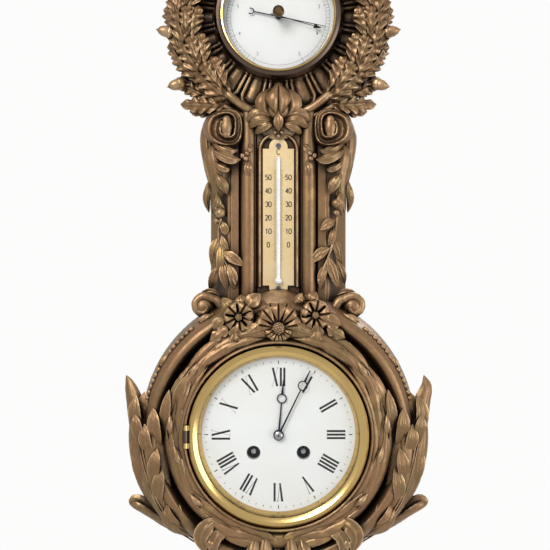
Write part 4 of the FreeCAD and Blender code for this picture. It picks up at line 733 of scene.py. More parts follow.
def build_neck():
    """Splayed sides, sunk flat panels, two half-round columns and the moulded frame of the thermometer."""
    work = Carving()
    low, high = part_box("neck_body")
    floor, top = over_clock(low[2]), over_clock(high[2])
    x = np.linspace(-NECK_HALF, NECK_HALF, 241)[None, :]
    z = np.linspace(floor, top, 260)[:, None]
    x, z = x + 0 * z, z + 0 * x
    span = np.abs(x)
    face = np.interp(span, (0, 51.5, 53, 56, NECK_HALF - 1, NECK_HALF), (41, 41, 40.4, 36.5, 18.5, 16))
    panel = np.clip(np.minimum(span - 40.2, 50.2 - span), 0, 1.2) / 1.2
    face = face + 1.2 * panel * (span < 51) - 2.0 * np.exp(-((span - 39.6) / 0.5) ** 2)
    column_x, column_r = 31, 8
    column = np.sqrt(np.maximum(0, column_r ** 2 - (span - column_x) ** 2))
    inside = span < 24
    plate = plate_distance(x, z - THERMO_ABOVE)
    arch = arch_distance(x, z - THERMO_ABOVE)
    frame_bead = np.sqrt(np.clip(1 - ((arch - 2.6) / 2.0) ** 2, 0, 1)) * 4.2
    centre = 44.2 + frame_bead
    centre = np.where(np.minimum(plate, arch) < 0.7, 42.0, centre)
    fillet = np.clip(1 - np.abs(span - 22.6) / 0.8, 0, 1) * 2.2
    relief = np.where(inside, centre - fillet, face + column)
    work.slab(x, z, relief, np.full_like(x, BOARD_FACE))
    return work.finish("neck_carved", "case", "bronzed_wood", FINISH["bronzed_wood"], "neck_body",
                       smooth=42, marks=False)


def build_volute(side):
    """Console scroll: coiled fillet with a pill-shaped eye, a long leaf down its flank and folds below."""
    work = Carving()
    _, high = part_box("volute_right")
    x0, z0, r0 = 52.0, over_clock(high[2]) - 24.0, 20.5
    rows, cols = 40, 120
    r = np.linspace(0.15, r0, rows)[:, None]
    a = np.linspace(0, TAU, cols, endpoint=False)[None, :]
    turn = (r / 9.6 - side * a / TAU + 0.15) % 1.0
    ridge = np.exp(-((turn - 0.5) / 0.24) ** 2)
    edge = np.clip((r0 - r) / 2.5, 0, 1) ** 0.5
    front = 44 + (5.5 + 5.5 * ridge * np.clip(r / 6, 0, 1)) * edge
    x = side * x0 + r * np.sin(a) * (1 + 0.24 * side * np.sin(a))
    z = z0 + r * np.cos(a) * 0.84 + 3.4 * np.clip(2.2 * np.cos(a), -1, 1) * np.clip(r / 3, 0, 1)
    work.slab(x, z, front, 34 + 0 * x, around=True)
    eye_r, eye_half = 4.2, 7.5
    work.tube([(side * (x0 + 1), 53, z0 + h) for h in (-eye_half, 0, eye_half)], eye_r,
              sides=20, rows=30, swell=1.6, flat=0.8)
    for end in (eye_half, -eye_half):
        work.ball((side * (x0 + 1), 53, z0 + end), (eye_r, 3.4, eye_r))
    flank = to_side(side, ((62, 30, z0 + 19), (68, 36, z0 + 14), (73, 38, z0 - 6), (71, 38, z0 - 34),
                           (68, 36, z0 - 60), (71, 30, z0 - 84)))
    work.leaf(flank, 10, lean=0.6, cup=-0.5, full=0.3, rows=50, across=17, rib=0.0, root=0.6)
    body = to_side(side, ((64, 40, z0 - 12), (66, 46, z0 - 26), (63, 46, z0 - 44), (64, 42, z0 - 64),
                          (70, 34, z0 - 88)))
    work.leaf(body, 12, lean=0.25, cup=-0.45, full=0.34, rows=50, across=17, rib=0.05)
    folds = (
        (4.6, ((70, 42, -12), (60, 51, -20), (50, 53, -24), (42, 49, -23))),
        (5.6, ((71, 42, -20), (60, 54, -28), (48, 56, -33), (38.5, 51, -33))),
        (4.4, ((68, 44, -30), (62, 50, -38), (54, 52, -42), (49, 48, -41))),
        (5.4, ((66, 44, -44), (61, 50, -52), (56, 50, -60), (53, 46, -68))),
        (4.2, ((72, 38, -52), (74, 40, -64), (75, 36, -74), (73, 28, -86))),
        (4.2, ((64, 42, -64), (63, 45, -74), (64, 42, -82), (67, 36, -90))),
    )
    for half, spots in folds:
        work.leaf([(side * px, d, z0 + pz) for px, d, pz in spots], half, cup=-0.2, lean=0.15, full=0.5)
    for px, pz, size in ((37, -29, 2.8), (32.5, -26.5, 2.8), (33.5, -32, 2.8), (28.5, -19, 2.2)):
        work.ball((side * px, 49.5, z0 + pz), size, sides=14)
    work.leaf(to_side(side, ((29, 48, z0 - 33), (31, 52, z0 - 42), (30, 49, z0 - 50))), 3.8)
    work.leaf(to_side(side, ((25, 48, z0 - 18), (29, 50, z0 - 22), (34, 49, z0 - 27))), 2.6)
    return work.carved(sided("volute", side))


def build_leaf_drops():
    """Falls of leaves and berries down the splayed sides of the neck, a little different each side."""
    work = Carving()
    _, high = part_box("leaf_drops")
    top = over_clock(high[2])
    left = (
        (4.4, ((-58, 41, -4), (-56, 43, -11), (-54, 41, -19))),
        (4.8, ((-62, 39, -21), (-67, 39, -33), (-70, 33, -51))),
        (4.2, ((-60, 41, -29), (-60, 43, -45), (-63, 39, -62))),
        (5.2, ((-58, 43, -36), (-48, 47, -42), (-35, 46, -51))),
        (3.8, ((-59, 41, -19), (-56, 43, -29), (-52, 41, -40))),
        (4.8, ((-53, 43, -48), (-47, 46, -61), (-46, 44, -75))),
        (4.4, ((-64, 39, 18), (-61, 42, 10), (-57, 39, 4))),
        (4.4, ((-57, 41, -46), (-57, 43, -60), (-53, 41, -76))),
        (4.6, ((-63, 38, -50), (-68, 37, -64), (-72, 30, -78))),
    )
    right = (
        (4.8, ((59, 41, -3), (52, 46, -7), (43, 47, -14))),
        (4.4, ((56, 41, -21), (62, 39, -34), (66, 33, -52))),
        (5.2, ((54, 43, -32), (43, 47, -38), (33, 47, -48))),
        (4.8, ((52, 43, -41), (56, 44, -56), (63, 39, -75))),
        (4.0, ((61, 38, 32), (64, 41, 24), (67, 36, 15))),
        (4.4, ((50, 43, -48), (45, 47, -60), (43, 46, -74))),
        (3.8, ((57, 40, -9), (56, 44, -20), (52, 42, -30))),
        (4.4, ((60, 39, -44), (66, 37, -58), (70, 30, -70))),
    )
    for half, spots in left + right:
        work.leaf([(x, d, top + z) for x, d, z in spots], half, cup=0.22, lean=0.1)
    work.tube([(-63, 38, top + 30), (-60, 40, top), (-62, 39, top - 20), (-56, 42, top - 44),
               (-44, 47, top - 70)], 1.8, 1.2)
    work.tube([(66, 37, top + 36), (61, 40, top), (58, 40, top - 20), (52, 43, top - 40),
               (41, 47, top - 66)], 1.8, 1.2)
    for x, d, z, size in ((-60, 41, 4, 5.8), (-64, 39, -4, 3.4), (60, 41, 14, 5.4), (60, 41, 4, 3.8)):
        work.ball((x, d, top + z), size, flutes=5, cut=0.06)
    return work.carved("leaf_drops", "gilt_bronze")


def build_side_scrolls():
    """Small coiled scroll on each shoulder, where the neck springs from the round case."""
    work = Carving()
    _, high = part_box("side_scrolls")
    x0, z0 = high[0] / MM - 14.5, over_clock(high[2]) - 15.0
    for side in (-1, 1):
        coil = [(side * (x0 + r * math.sin(a)), 47 + 4 * (1 - r / 12.5), z0 + r * math.cos(a))
                for r, a in ((12.5 - 1.5 * k, -0.9 + 0.95 * k) for k in range(8))]
        lead = to_side(side, ((x0 - 33, 46, z0 - 12), (x0 - 22, 47, z0 - 5), (x0 - 15, 47, z0 + 5)))
        work.tube(lead + coil, 5.6, 2.4, rows=110, sides=16, flat=0.9)
        work.ball((side * x0, 46, z0), (9.5, 6, 9.5), sides=24)
        work.turned((side * x0, 12, z0), (0, 1, 0), ((0, 9), (16, 11), (32, 11.5), (36, 9)), sides=28)
        work.leaf(to_side(side, ((x0 - 24, 40, z0 - 8), (x0 - 12, 42, z0 - 14), (x0 + 4, 38, z0 - 15))),
                  5, 2)
        work.leaf(to_side(side, ((x0 - 16, 42, z0 + 12), (x0 - 6, 43, z0 + 15), (x0 + 6, 38, z0 + 12))),
                  4)
    return work.carved("side_scrolls", "gilt_bronze")


def blossom(work, x, z, depth, petals, whole, core, start=0.0, broad=0.34, low=1.0):
    """A flower with cupped petals, a second row behind and a seeded core; low shortens the lower petals."""
    for scale, drop, shift in ((1.06, 5.0, 0.5), (1.0, 0.0, 0.0)):
        for i in range(petals):
            a = start + TAU * (i + shift) / petals
            dx, dz = math.sin(a), math.cos(a)
            reach = whole * (1.0 if dz > -0.35 else low)
            spine = [(x + r * reach * scale * dx, depth - drop + d, z + r * reach * scale * dz)
                     for r, d in ((0.12, -3), (0.45, 0.6), (0.78, 1.2), (1.0, -1.5))]
            work.leaf(spine, reach * broad, cup=-0.25, full=0.6, blunt=0.75 if petals > 6 else 0.45,
                      rib=-0.2, rows=22, root=0.25)
    work.ball((x, depth, z), (core, core * 0.85, core), sides=24)
    seeds = 18
    for i in range(seeds):
        a, ring_r = 2.4 * i, core * 0.88 * math.sqrt((i + 0.5) / seeds)
        lift = core * 0.85 * math.sqrt(max(0.05, 1 - (ring_r / core) ** 2))
        work.ball((x + ring_r * math.sin(a), depth + lift, z + ring_r * math.cos(a)), core * 0.17,
                  sides=8)


def build_flower_spray():
    """Daisy with a smaller flower, bud and leaves each side, over the foot of the neck."""
    work = Carving()
    work.ball((0, 50, 106), (26, 16, 20), sides=32)
    blossom(work, 0, 107, 77, 9, 25, 6.4, 0.0, 0.33, 0.62)
    blossom(work, -39.5, 118, 77, 5, 15, 3.6, 0.5, 0.62)
    blossom(work, 36.5, 120, 77, 5, 15, 3.6, 0.2, 0.62)
    leaves = (
        (6.2, 0, ((-34, 58, 124), (-27, 64, 133), (-18, 60, 141))),
        (5.0, 0, ((-43, 58, 126), (-50, 62, 130), (-56, 58, 137))),
        (6.4, 2, ((-41, 70, 113), (-43, 78, 101), (-44, 76, 88))),
        (5.0, 0, ((-35, 58, 127), (-37, 62, 134), (-38, 58, 140))),
        (6.6, 2, ((38, 70, 115), (38, 78, 103), (36, 76, 91))),
        (5.6, 0, ((40, 64, 119), (51, 68, 115), (62, 64, 110))),
        (5.0, 0, ((33, 58, 130), (34, 62, 137), (38, 58, 143))),
        (5.0, 0, ((26, 58, 131), (21, 61, 136), (17, 58, 139))),
        (5.2, 0, ((-51, 62, 117), (-59, 66, 113), (-64, 62, 105))),
        (5.8, 0, ((-17, 68, 113), (-25, 76, 107), (-33, 74, 101))),
        (5.8, 0, ((16, 68, 113), (24, 76, 107), (31, 74, 101))),
        (6.0, 2, ((-48, 60, 112), (-57, 66, 103), (-68, 64, 95))),
        (6.0, 2, ((46, 60, 112), (55, 66, 104), (66, 64, 97))),
    )
    for half, lobes, spots in leaves:
        work.leaf([(x, min(d + 13, 77), z) for x, d, z in spots], half * 1.15, lobes, cup=-0.1)
    for x, d, z, size in ((-28.8, 76, 119, 4.6), (26, 76, 123, 4.4), (30, 68, 137, 4.0),
                          (-42, 77, 98, 3.0)):
        work.ball((x, d, z), size, flutes=6, cut=0.08)
        work.leaf([(x - 3, d - 4, z - 5), (x - 1, d + 4, z - 2), (x + 1, d + 3, z + 4)], size * 0.5)
    work.turned((0, 12, 112), (0, 1, 0), ((0, 30), (34, 34), (50, 30), (60, 18)), sides=40)
    return work.carved("flower_spray", "gilt_bronze")


def build_acanthus(side):
    """Great leaf that grows from the foot, wraps the shoulder and springs free at its tip."""
    work = Carving()
    tuck = 0 if side < 0 else 7          # the right tip was carved a little closer to the case
    ribs = (
        # half width, blunt tip, then (x, depth, height) along the rib
        (12, 0.6,
         ((98, 40, -102), (118, 52, -80), (132, 58, -57), (139, 61, -31), (143.5, 61, -3),
          (147, 56, 26))),
        (16, 0.6,
         ((84, 42, -109), (100, 54, -96), (115, 62, -76), (124, 67, -52), (128, 68, -28), (131, 66, -2),
                   (135, 60, 20))),
        (10.5, 0.8,
         ((90, 40, -104), (110, 50, -85), (125, 56, -62), (134, 58, -38), (139, 59, -14), (143, 59, 8),
                     (147, 57, 30), (152, 53, 46), (156.5 - tuck, 48, 57))),
        (5.8, 0.8, ((133, 58, -8), (136, 62, 10), (137, 62, 27), (135.5 - tuck / 2, 57, 42))),
        (6.6, 0.85, ((134, 60, -22), (141, 66, 2), (144.5, 67, 22), (143.5 - tuck / 2, 62, 39))),
        (6.0, 0.8, ((130, 60, -36), (138, 68, -10), (142, 70, 8), (144, 65, 20))),
        (6.6, 0.85, ((124, 60, -46), (130, 69, -20), (133.5, 72, -4), (134, 67, 11))),
        (7.0, 0.75, ((121, 62, -34), (122, 71, -8), (124, 75, 10), (124.5, 70, 27))),
        (5.4, 0.85, ((118, 62, -20), (115, 74, 8), (112, 77.5, 26), (108.5, 74, 46))),
        (5.2, 0.85, ((113, 66, -8), (105, 75, 24), (98, 77.5, 44), (89.5, 75, 62))),
        (6.6, 0.85, ((124, 62, -64), (125, 71, -44), (124, 74, -29), (121, 69, -13))),
        (6.6, 0.85, ((120, 60, -86), (121, 69, -66), (120, 73, -49), (116.5, 68, -31))),
        (8.5, 0.6, ((119, 58, -68), (114, 66, -82), (104, 66, -94), (88, 54, -106))),
        (3.4, 0.6, ((117, 62, -62), (112, 71, -74), (106, 72, -83), (99, 66, -90))),
        (3.4, 0.6, ((114, 62, -58), (104, 68, -68), (99, 70, -78), (97, 64, -88))),
        (4.6, 0.8, ((132, 56, -70), (140, 62, -48), (144, 61, -32), (146, 56, -16))),
    )
    for half, blunt, spots in ribs:
        # the slimmer lobes start sunk behind the blades and rise in front of them
        blade = half > 7.4
        along = np.zeros(len(spots)) if blade else np.linspace(6.0, -3.0, len(spots))
        work.leaf([(side * x, d - drop, z) for (x, d, z), drop in zip(spots, along)], half, lean=0.25,
                  cup=-0.3 if blade else 0.12, full=0.6, blunt=blunt, rows=64 if blade else 40, across=17,
                  rib=0.07)
    for shift in (-3.4, 0, 3.4):
        bundle = [(side * (x + shift * 0.7), d + 3.2 - abs(shift) * 0.45, z - shift * 0.5) for x, d, z in
                  ((84, 46, -113), (104, 58, -94), (122, 64, -66), (131, 66, -38), (138, 64, -10),
                   (144, 60, 22))]
        work.tube(bundle, 0.9, 0.5, sides=10, rows=60)
    curl = (
        (9.5, ((92, 32, -113), (112, 42, -98), (130, 44, -86), (144, 44, -77), (155, 43, -73))),
        (5.6, ((112, 40, -94), (126, 42, -80), (136, 40, -68), (142, 36, -59))),
        (6.4, ((94, 32, -115), (114, 37, -102), (130, 37, -91), (143, 36, -83))),
        (4.2, ((116, 46, -92), (132, 51, -84), (144, 51, -78), (151, 47, -76))),
    )
    for half, spots in curl:
        work.leaf(to_side(side, spots), half, lean=0.3, cup=-0.3, full=0.66, blunt=0.42,
                  across=15, rib=0.05)
    return work.carved(sided("acanthus", side))


def build_pendant_drop():
    """Shell of lancet leaves between two turned-over leaf ends, falling to a berry tip."""
    work = Carving()
    low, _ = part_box("pendant_drop")
    tip = over_clock(low[2])
    work.turned((0, 12, -142), (0, 1, 0), ((0, 34), (30, 36), (42, 28), (46, 10)), sides=48)
    lancets = ((-21, 78, -100, -30, 66, -134), (21, 78, -100, 30, 66, -134), (0, 74, -108, 0, 70, -146),
               (-12, 79.4, -98, -15, 74, -140), (12, 79.4, -98, 15, 74, -140))
    for x0, d0, z0, x1, d1, z1 in lancets:
        work.leaf([(x0, d0 - 8, z0 + 4), ((x0 + x1) / 2, d0 + 2, (z0 + z1) / 2), (x1, d1 - 4, z1)], 7.5,
                  cup=-0.3, across=15)
    for side in (-1, 1):
        straps = (
            (8, 0, ((58, 70, -84), (70, 79, -88), (77, 78, -100), (73, 68, -120))),
            (6, 0, ((48, 68, -92), (60, 76, -98), (65, 74, -110), (62, 64, -124))),
            (8, 2, ((34, 54, -126), (56, 62, -122), (74, 60, -112), (88, 50, -104))),
            (8, 3, ((10, 58, -140), (22, 64, -152), (30, 58, -166), (26, 46, -178))),
            (9, 3, ((24, 54, -130), (40, 62, -138), (50, 56, -148), (54, 42, -152))),
            (7, 3, ((4, 56, -152), (10, 62, -168), (12, 54, -182), (6, 44, -190))),
            (6, 2, ((30, 50, -124), (46, 56, -130), (60, 50, -134), (68, 38, -132))),
        )
        for half, lobes, spots in straps:
            work.leaf(to_side(side, spots), half, lobes, notch=0.3)
        roll = [(side * (62 + r * math.sin(a)), 70 + r * 0.4, -104 + r * math.cos(a))
                for r, a in ((9 - 1.1 * k, -1.2 + 0.9 * k) for k in range(7))]
        work.tube(roll, 4.6, 2.0, rows=70, sides=14)
        work.ball((side * 68, 72, -107), (6.0, 6.5, 6.0), flutes=5, cut=0.1)
        work.ball((side * 50, 66, -117), (6.5, 6, 5.5), flutes=5, cut=0.1)
    work.leaf([(0, 62, -138), (0, 68, -156), (0, 60, -176), (0, 46, tip + 6)], 11, 4, cup=-0.2, across=17)
    work.ball((0, 40, tip + 7.4), (6.6, 7, 7.2), flutes=8, cut=0.08)
    for side in (-1, 1):
        work.ball((side * 9, 40, tip + 15), 4.2, flutes=5, cut=0.08)
    return work.carved("pendant_drop")


# ---------------------------------------------------------------- upper case
def build_gadroon_frame():
    """Hollowed ring round the barometer: spoon-shaped flutes with raised rims."""
    work = Carving(BARO)
    flutes = 20
    inner, rim = 65.5, FRAME_R

    def flute(r, d, a):
        """Hollow with a raised tongue and lip; past the bend its end is round."""
        pitch = TAU / flutes
        off = (a / pitch + 0.5) % 1.0 - 0.5
        across = off * pitch * r
        bend, share = 88.0, 0.485
        beyond = np.maximum(r - bend, 0)
        q = np.hypot(across, beyond * 1.05) / np.where(r > bend, share * pitch * bend, share * pitch * r)
        tongue = 40.2 + 2.8 * np.clip(1 - (q / 0.56) ** 2, 0, 1) ** 0.7
        lip = 4.4 * np.sqrt(np.clip(1 - ((q - 0.80) / 0.22) ** 2, 0, 1))
        fill = np.where(q > 1.0, 38.6, tongue) + lip
        front = (d > 40) & (r > inner + 2.5) & (r < rim - 2.0)
        return r, np.where(front, fill, d)

    face = ([(inner + 0.01, 45.5), (inner + 1.5, 46)]
            + [(float(r), 44.0) for r in np.arange(inner + 3, rim - 2.0, 0.7)])
    outline = [(inner, 10), (inner, 44)] + face + [(rim - 1.6, 38), (rim, 33), (rim, 10)]
    work.lathe(outline, sides=flutes * 26, carve=flute)
    return work.carved("gadroon_frame", "gilt_bronze", smooth=70)


def acorn(work, spot, toward, size=1.0):
    """Smooth nut in a scaled cup."""
    nut = ((-1, 2.0), (0, 5.4), (4, 6.4), (9, 5.8), (13, 3.8), (15.4, 1.0), (16.6, 0.5), (17, 0.05))
    cup = ((-5, 0.5), (-4.6, 3.0), (-3, 5.6), (0, 7.2), (2.6, 7.5), (3.6, 7.0), (3.2, 5.6))
    work.turned(spot, toward, [(a * size, r * size) for a, r in nut], sides=24)
    work.turned(spot, toward, [(a * size, r * size) for a, r in cup], sides=36, flutes=12, cut=0.08)


def build_wreath(side):
    """Oak branch: a stem, leaves fanned to both sides of it, and acorns."""
    work = Carving(BARO)
    cut = dict(notch=0.36, blunt=0.6, full=0.52, cup=-0.12, sweep=1.2, rows=48, skew=1.3, swell=0.16,
               rib=0.3)

    def on(*spots):
        return [round_spot(side * a, r, d) for a, r, d in spots]

    work.tube(on((160, 100, 42), (140, 101, 45), (115, 101, 46), (90, 101, 46), (60, 102, 46),
                 (30, 103, 44)),
              3.6, 2.4, rows=80)
    base = [on((angle, 101, 24))[0] for angle in range(160, 19, -7)]
    work.tube(base, 14, 12, rows=90, sides=20, flat=0.9)
    for k, angle in enumerate(range(154, 22, -19)):
        sway = 1.5 * math.sin(2.1 * k)
        outer = on((angle, 102, 42), (angle - 11, 107, 49), (angle - 20, 109 + sway, 47),
                   (angle - 29, 114, 39))
        centre = on((angle - 3, 99, 46), (angle - 12, 101, 54), (angle - 23, 101, 55),
                    (angle - 33, 103 + sway, 49))
        inner = on((angle - 4, 95, 46), (angle - 13, 90, 56), (angle - 22, 86, 60),
                   (angle - 31, 83 + sway, 57))
        under = on((angle + 4, 104, 32), (angle - 6, 111, 37), (angle - 15, 117 + sway, 33))
        tuft = on((angle - 9, 97, 50), (angle - 17, 95, 60), (angle - 25, 94, 60), (angle - 32, 95, 54))
        for half, lobes, spots in ((9, 4, under), (10.5, 5, outer), (11, 5, centre), (10.5, 5, inner),
                                   (8, 4, tuft)):
            work.leaf(spots, half, lobes, lean=0.2, across=15, **cut)
    foot = (
        (9, 5, ((150, 106, 44), (145, 114, 49), (138, 124, 48), (131.5, 136, 41))),
        (8, 4, ((151, 106, 38), (146, 115, 42), (141, 124, 40), (136, 134, 34))),
        (8, 4, ((140, 110, 42), (132, 116, 47), (124, 124, 41))),
    )
    for half, lobes, spots in foot:
        work.leaf(on(*spots), half, lobes, **cut)
    for angle, radius, turn in ((99, 112, 62), (125, 122, 88), (70, 111, 45), (44, 110, 35)):
        spot = on((angle, radius, 47))[0]
        toward = (side * math.sin(math.radians(turn + 20)), 0.25, math.cos(math.radians(turn + 20)))
        acorn(work, spot, toward, 0.92)
        work.tube([on((angle + 7, radius - 12, 42))[0], on((angle + 3, radius - 6, 46))[0], spot], 1.4)
    return work.carved(sided("wreath", side))


def build_bud_boss():
    """Pointed bud below the barometer, its folded leaves, and the two rods that run up beside it."""
    work = Carving(BARO)
    work.leaf([(0, 48, -108), (0, 62, -97), (0, 64, -84), (0, 54, -70.5)], 14, cup=-0.4, full=0.42,
              across=17, rib=-0.14)
    work.ball((0, 46, -93), (16.5, 14, 18), sides=28)
    for side in (-1, 1):
        work.leaf(to_side(side, ((4, 46, -110), (14, 56, -98), (14, 58, -87), (9, 51, -76))), 9, cup=-0.4)
        folds = (
            (6.0, ((3, 48, -107), (12, 54, -103), (23, 55, -103), (33, 50, -109))),
            (5.2, ((3, 49, -111), (13, 56, -109), (22, 56, -110), (30, 50, -116))),
            (4.4, ((2, 50, -112), (10, 56, -114), (17, 55, -117), (24, 49, -122))),
        )
        for half, spots in folds:
            work.leaf(to_side(side, spots), half, cup=-0.15, blunt=0.6, full=0.55)
        work.tube(to_side(side, ((17, 44, -101), (34, 47, -95), (49, 48, -84), (60, 45, -73))), 4.4)
        work.tube(to_side(side, ((22, 41, -107), (41, 44, -101), (60, 44, -90), (78, 42, -76))), 3.4)
        for x, z, size in ((3.6, -121, 2.2), (0.0, -125, 2.4)):
            work.ball((side * x, 50, z), size, sides=12)
    work.leaf([(0, 50, -121), (0, 57, -112), (0, 57, -103)], 4.8)
    work.turned((0, 12, -104), (0, 1, 0), ((0, 24), (34, 24), (38, 16)), sides=40)
    return work.carved("bud_boss", "gilt_bronze")


def build_crest_bow():
    """Ribbon bow with a knot, two loops and two tails, over a pointed leaf."""
    work = Carving(BARO)
    for side in (-1, 1):
        loop = to_side(side, ((2, 42, 104), (14, 46, 115), (30, 46, 121), (39.5, 42, 112), (33, 38, 100),
                              (16, 38, 100), (3, 40, 103)))
        work.tube(loop, 3.2, sides=14, rows=80, flat=1.7, swell=1.6)
        tail = to_side(side, ((2, 40, 101), (14, 44, 93), (26, 42, 84), (38, 36, 80)))
        work.leaf(tail, 6.5, cup=0.3, full=0.7, blunt=0.4, root=0.5)
        work.leaf(to_side(side, ((8, 36, 98), (24, 42, 104), (38, 38, 98), (46, 30, 86))), 7, 3)
        for x, z in ((13, 128), (8, 122)):
            work.ball((side * x, 38, z), 3.4, flutes=5, cut=0.08)
    work.ball((0, 42, 104), (8, 9, 8.5), flutes=6, cut=0.12)
    work.leaf([(0, 34, 96), (0, 44, 112), (0, 44, 130), (0, 34, 149)], 13, 4, notch=0.32, cup=-0.2,
              across=17)
    for side in (-1, 1):
        work.leaf(to_side(side, ((4, 32, 104), (12, 40, 118), (15, 40, 130), (13, 32, 141))), 7, 3,
                  cup=0.2)
    work.turned((0, 11, 104), (0, 1, 0), ((0, 22), (22, 24), (26, 16)), sides=40)
    return work.carved("crest_bow")


# ---------------------------------------------------------------- printing on the dials
class Printing(Carving):
    """Flat strokes a hair proud of a dial."""
    sunk, proud = 0.05, 0.09

    def __init__(self, centre, face):
        super().__init__(centre)
        self.face = face

    def bar(self, start, end, wide, wide_end=None):
        """A straight stroke between two (x, z) spots."""
        (x0, z0), (x1, z1) = start, end
        wide_end = wide if wide_end is None else wide_end
        long = math.hypot(x1 - x0, z1 - z0) or 1
        nx, nz = -(z1 - z0) / long, (x1 - x0) / long
        low, high = self.face - self.sunk, self.face + self.proud
        first = [(x0 + nx * wide / 2, z0 + nz * wide / 2), (x0 - nx * wide / 2, z0 - nz * wide / 2)]
        last = [(x1 + nx * wide_end / 2, z1 + nz * wide_end / 2),
                (x1 - nx * wide_end / 2, z1 - nz * wide_end / 2)]
        rows = [[(px, d, pz) for px, pz, d in ((*a, low), (*a, high), (*b, high), (*b, low))]
                for a, b in (first, last)]
        self.skin(np.array(rows))

    def circle(self, radius, wide, sides=180, x=0.0, z=0.0):
        """A printed circle, a little thinner in depth than the strokes that cross it."""
        low, high = self.face - self.sunk, self.face + 0.08
        inner, outer = radius - wide / 2, radius + wide / 2
        self.lathe([(inner, low), (inner, high), (outer, high), (outer, low)], sides=sides, height=z, x=x)

    def ray(self, a, start, end, wide):
        """A stroke along the radius at the angle a from twelve."""
        self.bar((start * math.sin(a), start * math.cos(a)), (end * math.sin(a), end * math.cos(a)), wide)


ROMAN = ("XII", "I", "II", "III", "IIII", "V", "VI", "VII", "VIII", "IX", "X", "XI")
THICK, THIN, SERIF = 2.1, 0.22, 0.28          # stroke widths of the hour numerals
HOUR_FOOT, HOUR_HEAD = 48.6, 66.8             # radii that the numerals stand between
WINDING_X, WINDING_Z = 25.0, -18.0            # the winding holes' places on the clock dial


def roman(work, text, degrees, low, high):
    """One hour numeral, standing on the circle with its foot towards the centre."""
    a = math.radians(degrees)
    widths = {"I": 3.5, "V": 7.8, "X": 8.2}
    total = sum(widths[c] for c in text)

    def spot(across, up):
        return (across * math.cos(a) + up * math.sin(a), -across * math.sin(a) + up * math.cos(a))

    x = -total / 2
    for c in text:
        w = widths[c]
        mid = x + w / 2
        if c == "I":
            work.bar(spot(mid, low), spot(mid, high), THICK)
            feet = ((mid - 1.3, mid + 1.3, low), (mid - 1.3, mid + 1.3, high))
        elif c == "V":
            work.bar(spot(x + 1.9, high), spot(mid + 0.3, low), THICK, THICK * 0.8)
            work.bar(spot(x + w - 1.4, high), spot(mid + 0.3, low), THIN * 2.4, THIN)
            feet = ((x + 0.6, x + 3.2, high), (x + w - 2.6, x + w - 0.3, high))
        else:
            work.bar(spot(x + 1.9, high), spot(x + w - 1.9, low), THICK)
            work.bar(spot(x + w - 1.6, high), spot(x + 1.6, low), THIN)
            feet = ((x + 0.6, x + 3.2, high), (x + w - 2.8, x + w - 0.4, high),
                    (x + 0.4, x + 2.8, low), (x + w - 3.2, x + w - 0.6, low))
        for left, right, up in feet:
            work.bar(spot(left, up), spot(right, up), SERIF)
        x += w


def build_clock_printing():
    """Roman hours and the minute track of the clock dial."""
    work = Printing(CLOCK, DIAL_FACE)
    for i, text in enumerate(ROMAN):
        roman(work, text, 30 * i, HOUR_FOOT, HOUR_HEAD)
    fine = Printing(CLOCK, DIAL_FACE)
    for i in range(60):
        a = TAU * i / 60
        five = i % 5 == 0
        start, end, wide = (70.6, 74.0, 0.9) if five else (71.8, 73.6, 0.45)
        fine.ray(a, start, end, wide)
    for x in (-WINDING_X, WINDING_X):
        fine.circle(6.6, 0.5, 48, x, WINDING_Z)
    fine.finish("minute_track", "case", "dial_enamel", FINISH["ink"], marks=False)
    return work.finish("hour_numerals", "case", "dial_enamel", FINISH["ink"], marks=False)


DIGITS = {  # strokes on a 2 x 4 cell, each a run of corners
    "0": (((0, 0.6), (0, 3.4), (0.6, 4), (1.4, 4), (2, 3.4), (2, 0.6), (1.4, 0), (0.6, 0), (0, 0.6)),),
    "1": (((0.4, 3.2), (1.1, 4), (1.1, 0)),),
    "2": (((0, 3.3), (0.6, 4), (1.5, 4), (2, 3.3), (1.8, 2.4), (0, 0), (2, 0)),),
    "3": (((0, 3.5), (0.7, 4), (1.5, 4), (1.9, 3.2), (1.3, 2.2), (2, 1.4), (1.9, 0.6), (1.2, 0),
           (0, 0.4)),),
    "4": (((1.5, 0), (1.5, 4), (0, 1.2), (2, 1.2)),),
    "5": (((1.9, 4), (0.2, 4), (0.1, 2.3), (1.3, 2.5), (2, 1.5), (1.7, 0.4), (0.9, 0), (0, 0.4)),),
    "C": (((2, 3.2), (1.4, 4), (0.6, 4), (0, 3.2), (0, 0.8), (0.6, 0), (1.4, 0), (2, 0.8)),),
}


def figure(work, text, x, z, tall, wide):
    """Small figures centred on (x, z)."""
    k, step = tall / 4, 2.7          # a cell is 4 high, and each figure stands a step from the last
    left = x - (len(text) * step - 0.7) * k / 2
    for i, c in enumerate(text):
        for run in DIGITS[c]:
            spots = [(left + (i * step + px) * k, z + (pz - 2) * k) for px, pz in run]
            for a, b in zip(spots, spots[1:]):
                work.bar(a, b, wide)


def build_thermometer_printing():
    """Degrees beside the tube, every ten figured, and the letter of the scale above it."""
    work = Printing(THERMO, SCALE_FACE)
    # the height of one degree, the height of 0, and where the ticks start beside the tube
    degree, zero, tick_x = 1.39, -28.5, 2.6
    for t in range(-12, 56):
        z = zero + degree * t
        reach = 3.4 if t % 10 == 0 else 2.6 if t % 5 == 0 else 1.7
        for side in (-1, 1):
            work.bar((side * tick_x, z), (side * (tick_x + reach), z), 0.2)
    for t in range(0, 51, 10):
        for side in (-1, 1):
            figure(work, str(t), side * 10.4, zero + degree * t, 5.0, 0.9)
    figure(work, "C", 0, 67.4, 6.0, 0.8)
    return work.finish("thermometer_figures", "case", "scale_brass", FINISH["ink"], marks=False)


